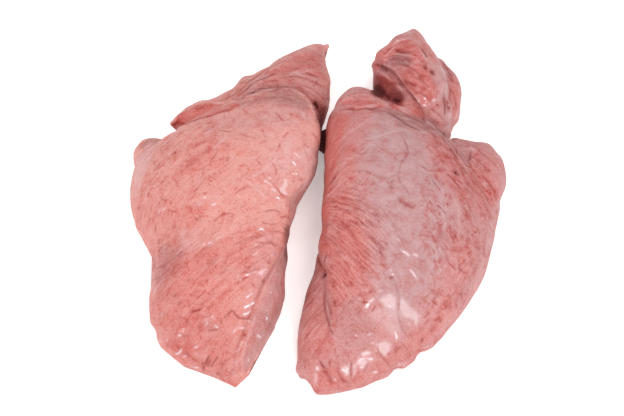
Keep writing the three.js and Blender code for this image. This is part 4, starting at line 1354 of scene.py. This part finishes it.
    def cover(self, name, values, chosen=slice(None)):
        """Raises a layer to the given values, where they are higher."""
        self.layers[name][chosen] = np.maximum(self.layers[name][chosen], values)

    def zone(self, name, strength, soft, outline):
        """Lays a layer down inside an outline of pixels, with a soft border, where the camera sees."""
        pixels = self.pixels + self.waver * min(soft, MOST_WAVER)
        self.cover(name, strength * soft_inside(pixels, np.array(outline, float), soft) * self.facing)

    def weave(self, strength, soft, outline, guides):
        """Lets fibres show inside an outline of pixels, along guides that lie one below the other.

        The phase counts the guides above a point, and between two of them, a below the upper and b
        above the lower, adds a / (a + b).
        """
        along = np.linspace(0, 1, GUIDE_POINTS)
        gaps = np.stack([below(self.pixels, smooth_rows(guide, along)) for guide in guides])
        upper = np.clip((gaps > 0).sum(0) - 1, 0, len(guides) - 2)
        rows = np.arange(len(self.points))
        a, b = gaps[upper, rows], gaps[upper + 1, rows]
        phase = upper + np.clip(a / np.maximum(a - b, TINY), 0, 1)
        share = strength * self.facing * soft_inside(self.pixels, np.array(outline, float), soft)
        stronger = share > self.layers["comb"]
        self.layers["comb"][stronger] = share[stronger]
        self.layers["phase"][stronger] = phase[stronger] / MOST_GUIDES

    def push(self):
        """Moves each point along its normal by its height, and keeps it above the table."""
        self.points += self.normals * self.height[:, None]
        self.points[:, 2] = np.maximum(self.points[:, 2], 0)
        self.height[:] = 0

    def store(self):
        """Writes the layers to the mesh as attributes, for the material."""
        for name in self.LAYERS:
            attribute = self.mesh.attributes.new(name, "FLOAT", "POINT")
            values = np.clip(self.layers[name], 0, 1)
            attribute.data.foreach_set("value", values.astype(np.float32))


def farther(old, new):
    """Whichever of two heights is farther from the surface."""
    return np.where(np.abs(new) > np.abs(old), new, old)


def path_length(outline):
    """Length of a line of points."""
    return np.linalg.norm(np.diff(np.array(outline, float), axis=0), axis=1).sum()


def soft_inside(pixels, outline, soft):
    """1 inside a closed outline and 0 outside, by counting crossings, eased over the distance to it."""
    ends = np.roll(outline, -1, 0)
    inside = np.zeros(len(pixels), bool)
    distance = np.full(len(pixels), np.inf)
    x, y = pixels.T
    for (x0, y0), (x1, y1) in zip(outline, ends):
        step = np.array((x1 - x0, y1 - y0))
        offset = pixels - (x0, y0)
        t = np.clip(offset @ step / max(step @ step, TINY), 0, 1)
        distance = np.minimum(distance, np.linalg.norm(offset - t[:, None] * step, axis=1))
        if y0 != y1:
            crosses = (y0 > y) != (y1 > y)
            inside ^= crosses & (x < x0 + (y - y0) * (x1 - x0) / (y1 - y0))
    return ease(np.where(inside, distance, -distance), -soft, soft)


def below(pixels, guide):
    """Distance of each pixel from a line of pixels drawn from left to right, with a minus above it."""
    nearest = np.full(len(pixels), np.inf)
    signed = np.zeros(len(pixels))
    for start, end in itertools.pairwise(guide):
        step, offset = end - start, pixels - start
        t = np.clip(offset @ step / (step @ step), 0, 1)
        gap = np.linalg.norm(offset - t[:, None] * step, axis=1)
        side = np.sign(step[0] * offset[:, 1] - step[1] * offset[:, 0])
        signed = np.where(gap < nearest, gap * side, signed)
        nearest = np.minimum(gap, nearest)
    return signed


def lattice_noise(points, size, seed):
    """Smooth noise from -1 to 1: a random value at each corner of a cubic lattice, blended in between.

    A corner's value comes from a hash: its counts along the axes times their primes, joined by
    exclusive or, shifted, scrambled, and cut to 16 bits.
    """
    q = points / (size * MM)
    cell = np.floor(q).astype(np.int64)
    t = q - cell
    t = t * t * (3 - 2 * t)
    total = np.zeros(len(points))
    for corner in itertools.product((0, 1), repeat=3):
        code = np.bitwise_xor.reduce((cell + corner) * AXIS_PRIMES, axis=1) ^ (seed * SEED_PRIME)
        code = ((code ^ (code >> 13)) * SCRAMBLER) & 0xFFFFFFFF
        value = ((code ^ (code >> 16)) & 0xFFFF) / 0x7FFF - 1
        total += np.where(corner, t, 1 - t).prod(1) * value
    return total


class Sock:
    """A socket that Python's operators turn into Math nodes, so a formula can be written as it is read."""

    def __init__(self, tree, socket):
        self.tree = tree
        self.socket = socket

    def math(self, operation, *values):
        """A Math node."""
        return self.tree.node("ShaderNodeMath", {"operation": operation}, dict(enumerate(values)))

    def __add__(self, other):
        return self.math("ADD", self, other)

    def __sub__(self, other):
        return self.math("SUBTRACT", self, other)

    def __rsub__(self, other):
        return self.math("SUBTRACT", other, self)

    def __mul__(self, other):
        return self.math("MULTIPLY", self, other)

    def __abs__(self):
        return self.math("ABSOLUTE", self)

    __radd__ = __add__
    __rmul__ = __mul__

    def ramp(self, low, high):
        """0 at low, 1 at high, with a smooth ease between."""
        return self.tree.node(
            "ShaderNodeMapRange",
            {"interpolation_type": "SMOOTHSTEP"},
            {"Value": self, "From Min": low, "From Max": high},
        )


class Tree:
    """The node tree of one material."""

    def __init__(self, name):
        self.material = bpy.data.materials.new(name)
        self.material.use_nodes = True
        self.nodes = self.material.node_tree.nodes
        self.links = self.material.node_tree.links
        self.nodes.clear()

    def node(self, kind, settings=None, inputs=None, output=0):
        """Adds a node: its settings first, then its inputs by name or number, each a value or a Sock."""
        made = self.nodes.new(kind)
        for name, value in (settings or {}).items():
            setattr(made, name, value)
        for name, value in (inputs or {}).items():
            socket = made.inputs[name]
            if isinstance(value, Sock):
                self.links.new(value.socket, socket)
            else:
                socket.default_value = value
        return Sock(self, made.outputs[output]) if made.outputs else None

    def shaded(self, inputs):
        """The finished material, whose Principled shader has these inputs."""
        shader = self.node("ShaderNodeBsdfPrincipled", inputs=inputs)
        self.node("ShaderNodeOutputMaterial", inputs={"Surface": shader})
        return self.material

    def mix(self, factor, low, high, blend="MIX"):
        """Colour mix, from low at 0 to high at 1."""
        return self.node(
            "ShaderNodeMix", {"data_type": "RGBA", "blend_type": blend},
            {0: factor, 6: low, 7: high}, output=2,
        )

    def tint(self, factor, colour, glass):
        """A colour seen through a share of tinted glass: a mix towards colour times glass."""
        return self.mix(factor, colour, glass, "MULTIPLY")

    def layer(self, name):
        """A layer that the mesh holds as an attribute."""
        return self.node("ShaderNodeAttribute", {"attribute_name": name}, output="Fac")

    def noise(self, where, scale, detail=3.0, roughness=0.55, output="Fac"):
        """Noise round 0.5, with features one over scale metres wide."""
        return self.node(
            "ShaderNodeTexNoise", {"noise_dimensions": "3D"},
            {"Vector": where, "Scale": scale, "Detail": detail, "Roughness": roughness},
            output,
        )

    def shift(self, where, scale, offset):
        """Coordinates times scale, plus an offset."""
        return self.node(
            "ShaderNodeVectorMath", {"operation": "MULTIPLY_ADD"},
            {0: where, 1: (scale,) * 3, 2: offset},
        )

    def bend(self, where, scale, reach):
        """Coordinates bent by noise, up to reach metres."""
        wave = self.noise(where, scale, 2, output="Color")
        return self.shift(where, 1, self.shift(wave, reach, (-reach / 2,) * 3))


def tissue_material(name, ground):
    """Wet lung tissue: zones of colour over the ground, among them painted sheen and painted shade,
    then blotches, fibres, specks, painted highlights, gloss, blood and painted shade.

    A number times a pattern less 0.5 is how much the pattern adds or takes away. Fibres still the
    blotches that they run through, and the mauve zones, partly painted sheen, calm their vessels
    and specks.
    """
    tree = Tree(name)
    where = tree.node("ShaderNodeTexCoord", output="Object")
    bent = tree.bend(where, *BEND)
    cloud = tree.noise(bent, *CLOUD)
    blotch = tree.noise(bent, *BLOTCH)
    speck = tree.noise(bent, *SPECK)
    dust = tree.noise(where, *DUST)
    wires = tree.noise(bent, *WIRES)
    contour = tree.noise(where, *CONTOUR)
    flush, mauve_and_sheen, dark_tone_and_shade, pale, shade, blood, grain, net, gloss, comb, phase = (
        tree.layer(layer) for layer in Skin.LAYERS
    )

    # A strand is noise along the fibres, counted across them by the phase.
    turns = phase * (MOST_GUIDES * FIBRES_PER_GUIDE) + blotch * 2
    count = tree.node("ShaderNodeCombineXYZ", inputs={"X": turns})
    strand = tree.noise(tree.shift(where, STRAND_STRETCH, count), 1, 2)
    still = 1 - comb * 0.75
    calm = (1 - mauve_and_sheen * 0.8) * still

    # Zones, with blotches that deepen them and frost that pales them. The mauve is partly painted
    # sheen, and the darker grey mostly painted shade.
    colour = tree.mix(mauve_and_sheen, ground, GREY_MAUVE_AND_SHEEN)
    colour = tree.mix(dark_tone_and_shade * 0.8, colour, DARKER_TONE_AND_SHADE)
    heat = 0.85 + ((blotch - 0.5) * 0.5 + (speck - 0.5) * 0.6) * still + (grain - 0.5) * 0.4
    colour = tree.mix(flush * heat, colour, FLUSH)
    mottle = (blotch - 0.5) * 1.5 + (cloud - 0.5) * 0.8 + (grain - 0.5) * 0.8 + (speck - 0.5) * 0.8
    colour = tree.tint((mottle * (1 + net * 1.2) * still).ramp(-0.2, 0.75), colour, DEEP)
    frost = (0.5 - blotch) * 0.9 + (speck - 0.5) * 0.9 + (0.5 - grain) * 0.6
    colour = tree.mix(frost.ramp(0.0, 0.5) * 0.35, colour, PALE_TONE_AND_SHEEN)

    # The pale net between lobules, the fibres, the fine vessels, then specks and dust.
    web = (1 - abs(wires - 0.5).ramp(0.0, 0.04)) * net
    colour = tree.mix(web * 0.2, colour, PALE_TONE_AND_SHEEN)
    colour = tree.tint(strand.ramp(0.52, 0.36) * comb * 0.6, colour, BLOOD_AND_SHADE_TINT)
    colour = tree.mix(strand.ramp(0.5, 0.64) * comb * 0.15, colour, PALE_TONE_AND_SHEEN)
    threads = (1 - abs(contour - 0.5).ramp(0.004, 0.014)) * cloud.ramp(0.5, 0.54)
    colour = tree.tint(threads * calm * 0.4, colour, BLOOD_AND_SHADE_TINT)
    spots = (speck + (grain - 0.5) * 0.3 + (blotch - 0.5) * 0.3).ramp(0.54, 0.78)
    colour = tree.tint(spots * calm * 0.55, colour, BLOOD_AND_SHADE_TINT)
    fine = 1 - mauve_and_sheen * 0.6
    colour = tree.tint(dust.ramp(0.5, 0.72) * fine * 0.45, colour, BLOOD_AND_SHADE_TINT)
    colour = tree.mix(dust.ramp(0.5, 0.28) * fine * 0.3, colour, PALE_TONE_AND_SHEEN)

    # Pale patches of painted sheen with painted highlights on their glints, then blood, which in
    # folds and pockets also paints shade, then painted shade in the folds.
    colour = tree.mix(pale * (0.5 + dust * 0.5), colour, PALE_TONE_AND_SHEEN)
    painted_highlight_share = pale + (speck - 0.5) * 0.45 + (dust - 0.5) * 0.2
    colour = tree.mix(painted_highlight_share.ramp(0.5, 0.6) * 0.14 + painted_highlight_share.ramp(0.75, 1.0) * 0.86, colour, PAINTED_HIGHLIGHT)
    colour = tree.tint(blood * (0.4 + dust * 1.0), colour, BLOOD_AND_SHADE_TINT)
    colour = tree.mix(shade, colour, SHADE)

    film = (gloss + (grain - 0.5) * 0.9 + (speck - 0.5) * 1.4).ramp(0.35, 0.8) * (1 - shade)
    bumps = speck * 0.9 + dust * 0.3 + grain * 1.5 + blotch * 3 + strand * comb
    return tree.shaded({
        **TISSUE_FINISH,
        "Base Color": colour,
        "Roughness": 0.55 - film * 0.22 + shade * 0.35,
        "Coat Weight": film,
        "Normal": tree.node("ShaderNodeBump", inputs={**BUMP, "Height": bumps}),
    })


def uneven(skin, seed):
    """Broad swellings and small lumps of the tissue, as noise of several sizes."""
    up = np.clip(skin.points[:, 2] / (SWELLING_RISE * MM), 0, 1)
    for size, height in SWELLINGS:
        skin.height += lattice_noise(skin.points, size, seed + int(size)) * height * MM * up


def fibres(skin, strokes, seed):
    """Fibres that follow the comb strokes, with fine parallel folds where the skin is striated.

    The grain is 0.5 plus the fibres less the folds. The strongest of both hold blood, and sink.
    """
    heading = skin.combed(strokes)
    fine, broad, folds = (
        skin.smear(seed + number, heading, *kind) for number, kind in enumerate(FIBRE_KINDS)
    )
    patches = lattice_noise(skin.points, FIBRE_PATCH_SIZE, seed + FIBRE_PATCH_SEED)
    patchy = 0.4 + 0.6 * ease(patches, -0.5, 0.3)
    stria = skin.layers["stria"]
    folded = stria * patchy
    share = 0.3 + 0.7 * stria
    skin.layers["grain"][:] = 0.5 + share * (0.08 * fine + 0.12 * broad) - 0.14 * folds * folded
    skin.cover("blood", 0.3 * ease(fine, 1.3, 3.0) * patchy * share)
    skin.cover("blood", 0.9 * ease(folds, 0.0, 2.2) * folded)
    up = np.clip(skin.points[:, 2] / (FIBRE_RISE * MM), 0, 1)
    skin.height -= (share * (0.04 * fine + 0.1 * broad) + 0.06 * folds * folded) * MM * up


def root(skin):
    """Painted shade, dark maroon, on the root where the two lungs are joined and shadow each other."""
    low, high = (np.array(corner) * MM for corner in ROOT_BOX)
    middle, half = (low + high) / 2 + lung_shift(), (high - low) / 2
    away = np.abs((skin.points - middle) / half).max(1)
    skin.cover("shade", ROOT_SHADE_STRENGTH * (1 - ease(away, *ROOT_FADE)))


def thinned(skin):
    """The skin's mesh with the most triangles that a piece keeps, and none of it under the table."""
    share = MOST_TRIANGLES / (2 * len(skin.quads))
    if share >= 1:
        return skin.mesh
    hidden = np.flatnonzero(skin.normals[:, 2] < 0)
    mesh = modified(
        skin.mesh, "DECIMATE", hidden, ratio=share, vertex_group_factor=UNDERSIDE_WEIGHT
    )
    points = Skin.read(mesh.vertices, "co", 3)
    points[:, 2] = np.maximum(points[:, 2], 0)
    mesh.vertices.foreach_set("co", points.astype(np.float32).ravel())
    return mesh


def dress(lung, step):
    """One lung's finished mesh: fused, softened, nudged, swollen, coloured, marked and thinned."""
    skin = Skin(fused_mesh(lung.lobes.values(), step), PhotoCamera())
    skin.relax(SOFTENING_ROUNDS)
    skin.measure()
    for nudge in lung.nudges:
        skin.nudge(*nudge)
    skin.measure()
    skin.loosen_borders(lung.seed)
    uneven(skin, lung.seed)
    skin.push()
    skin.measure()
    for layer, zones in lung.zones.items():
        for zone in zones:
            skin.zone(layer, *zone)
    for run in lung.fibres:
        skin.weave(*run)
    fibres(skin, lung.comb, lung.seed)
    for style, outlines in lung.marks.items():
        for outline in outlines:
            skin.mark(skin.on_surface(outline), STYLES[style])
    root(skin)
    skin.push()
    skin.relax(1, pull=0.25)
    skin.write()
    skin.store()
    skin.mesh.shade_smooth()
    return thinned(skin)


def place_piece(name, mesh, material, node):
    """Links a finished piece that stands for a CAD node and moves with the body."""
    mesh.name = name
    mesh.materials.clear()
    mesh.materials.append(material)
    piece = add_object(name, mesh)
    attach(piece, "root")
    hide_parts(node)


class TissueSettings(bpy.types.PropertyGroup):
    """Sizes and colours of the lungs."""

    left_step: bpy.props.FloatProperty(
        name="Left mesh step", description="Edge length of the left lung's surface",
        default=0.76 * MM, min=0.5 * MM, precision=5, subtype="DISTANCE", unit="LENGTH",
    )
    right_step: bpy.props.FloatProperty(
        name="Right mesh step", description="Edge length of the right lung's surface",
        default=0.84 * MM, min=0.5 * MM, precision=5, subtype="DISTANCE", unit="LENGTH",
    )
    left_ground: bpy.props.FloatVectorProperty(
        name="Left ground", description="Ground colour of the left lung",
        default=PINK[:3], size=3, min=0, max=1, subtype="COLOR",
    )
    right_ground: bpy.props.FloatVectorProperty(
        name="Right ground", description="Ground colour of the right lung",
        default=ROSE[:3], size=3, min=0, max=1, subtype="COLOR",
    )


class StageSettings(bpy.types.PropertyGroup):
    """Sizes of the floor and the lights."""

    floor_size: bpy.props.FloatProperty(
        name="Floor size", description="Edge length of the floor",
        default=6.0, min=1.0, subtype="DISTANCE", unit="LENGTH",
    )
    softbox_power: bpy.props.FloatProperty(
        name="Softbox", description="Power of the wide light overhead",
        default=8.0, min=0.0, subtype="POWER", unit="POWER",
    )
    lamp_radiance: bpy.props.FloatProperty(
        name="Lamp brightness", description="Radiance of the small lamps that make glints",
        default=16.0, min=0.0,
    )
    sky: bpy.props.FloatProperty(
        name="Surroundings", description="Strength of the even light from all round",
        default=0.4, min=0.0,
    )


def build_lung(lung, node, step, ground):
    """Makes one lung's piece, which stands for its CAD node."""
    name = f"{node}_tissue"
    mesh = dress(lung, step)
    place_piece(name, mesh, tissue_material(name, (*ground, 1)), node)


class LUNGS_OT_left(bpy.types.Operator):
    """Build the left lung"""

    bl_idname = "lungs.left"
    bl_label = "Left lung"

    def execute(self, context):
        settings = context.scene.lung_tissue
        build_lung(LEFT, "left_lung", settings.left_step, settings.left_ground)
        return {"FINISHED"}


class LUNGS_OT_right(bpy.types.Operator):
    """Build the right lung with its folded front lobe and the root"""

    bl_idname = "lungs.right"
    bl_label = "Right lung"

    def execute(self, context):
        settings = context.scene.lung_tissue
        build_lung(RIGHT, "right_lung", settings.right_step, settings.right_ground)
        return {"FINISHED"}


def add_floor(size):
    """A square floor of matte, nearly white paper, lit from within so that the shade stays pale."""
    half = size / 2
    mesh = bpy.data.meshes.new("stage_floor")
    corners = [(-half, -half, 0), (half, -half, 0), (half, half, 0), (-half, half, 0)]
    mesh.from_pydata(corners, [], [(0, 1, 2, 3)])
    mesh.materials.append(Tree("stage_paper").shaded(FLOOR_FINISH))
    floor = add_object("stage_floor", mesh)


def area_light(name, direction, size, power):
    """A square light that looks at the object from a direction."""
    data = bpy.data.lights.new(name, "AREA")
    data.size = size
    data.energy = power
    light = add_object(name, data)
    light.location = Vector(direction).normalized() * LIGHT_DISTANCE
    light.rotation_euler = Vector(direction).to_track_quat("Z", "Y").to_euler()


def light_surroundings(strength):
    """Even white light from all round."""
    world = bpy.data.worlds.new("studio")
    world.use_nodes = True
    background = world.node_tree.nodes["Background"]
    background.inputs["Color"].default_value = (1, 1, 1, 1)
    background.inputs["Strength"].default_value = strength
    bpy.context.scene.world = world


def add_camera():
    """The scene's camera, with the place, tilt and lens of the photograph's."""
    view = PhotoCamera()
    data = bpy.data.cameras.new("camera")
    data.sensor_width = SENSOR_WIDTH
    data.lens = view.focal * SENSOR_WIDTH / FRAME_WIDTH
    camera = add_object("camera", data)
    camera.location = view.place
    camera.rotation_euler = (math.pi / 2 - CAMERA_ELEVATION, 0, 0)
    bpy.context.scene.camera = camera


class LUNGS_OT_stage(bpy.types.Operator):
    """Build the floor, the soft lights and the camera"""

    bl_idname = "lungs.stage"
    bl_label = "Stage"

    def execute(self, context):
        settings = context.scene.lung_stage
        add_floor(settings.floor_size)
        area_light("softbox", SOFTBOX_DIRECTION, SOFTBOX_SIZE, settings.softbox_power)
        for number, (direction, size, share) in enumerate(LAMPS):
            power = settings.lamp_radiance * share * math.pi * size**2
            area_light(f"lamp_{number}", direction, size, power)
        light_surroundings(settings.sky)
        context.scene.view_settings.view_transform = "Standard"
        add_camera()
        return {"FINISHED"}


class LUNGS_PT_panel(bpy.types.Panel):
    """Lists the pieces of the model"""

    bl_idname = "LUNGS_PT_panel"
    bl_label = "Lungs"
    bl_space_type = "VIEW_3D"
    bl_region_type = "UI"
    bl_category = "Lungs"

    def draw(self, context):
        for settings in (context.scene.lung_tissue, context.scene.lung_stage):
            for name in settings.__annotations__:
                self.layout.prop(settings, name)
        for operator in OPERATORS:
            self.layout.operator(operator.bl_idname)


SETTINGS = {"lung_tissue": TissueSettings, "lung_stage": StageSettings}
OPERATORS = (LUNGS_OT_left, LUNGS_OT_right, LUNGS_OT_stage)
CLASSES = (*SETTINGS.values(), *OPERATORS, LUNGS_PT_panel)


def register():
    """Registers the classes, and gives the scene its settings."""
    for cls in CLASSES:
        bpy.utils.register_class(cls)
    for name, cls in SETTINGS.items():
        setattr(bpy.types.Scene, name, bpy.props.PointerProperty(type=cls))


def unregister():
    """Takes back what register did."""
    for name in SETTINGS:
        delattr(bpy.types.Scene, name)
    for cls in reversed(CLASSES):
        bpy.utils.unregister_class(cls)


def main():
    """Builds the lungs and the stage."""
    register()
    bpy.ops.lungs.left()
    bpy.ops.lungs.right()
    bpy.ops.lungs.stage()


if __name__ == "__main__":
    main()
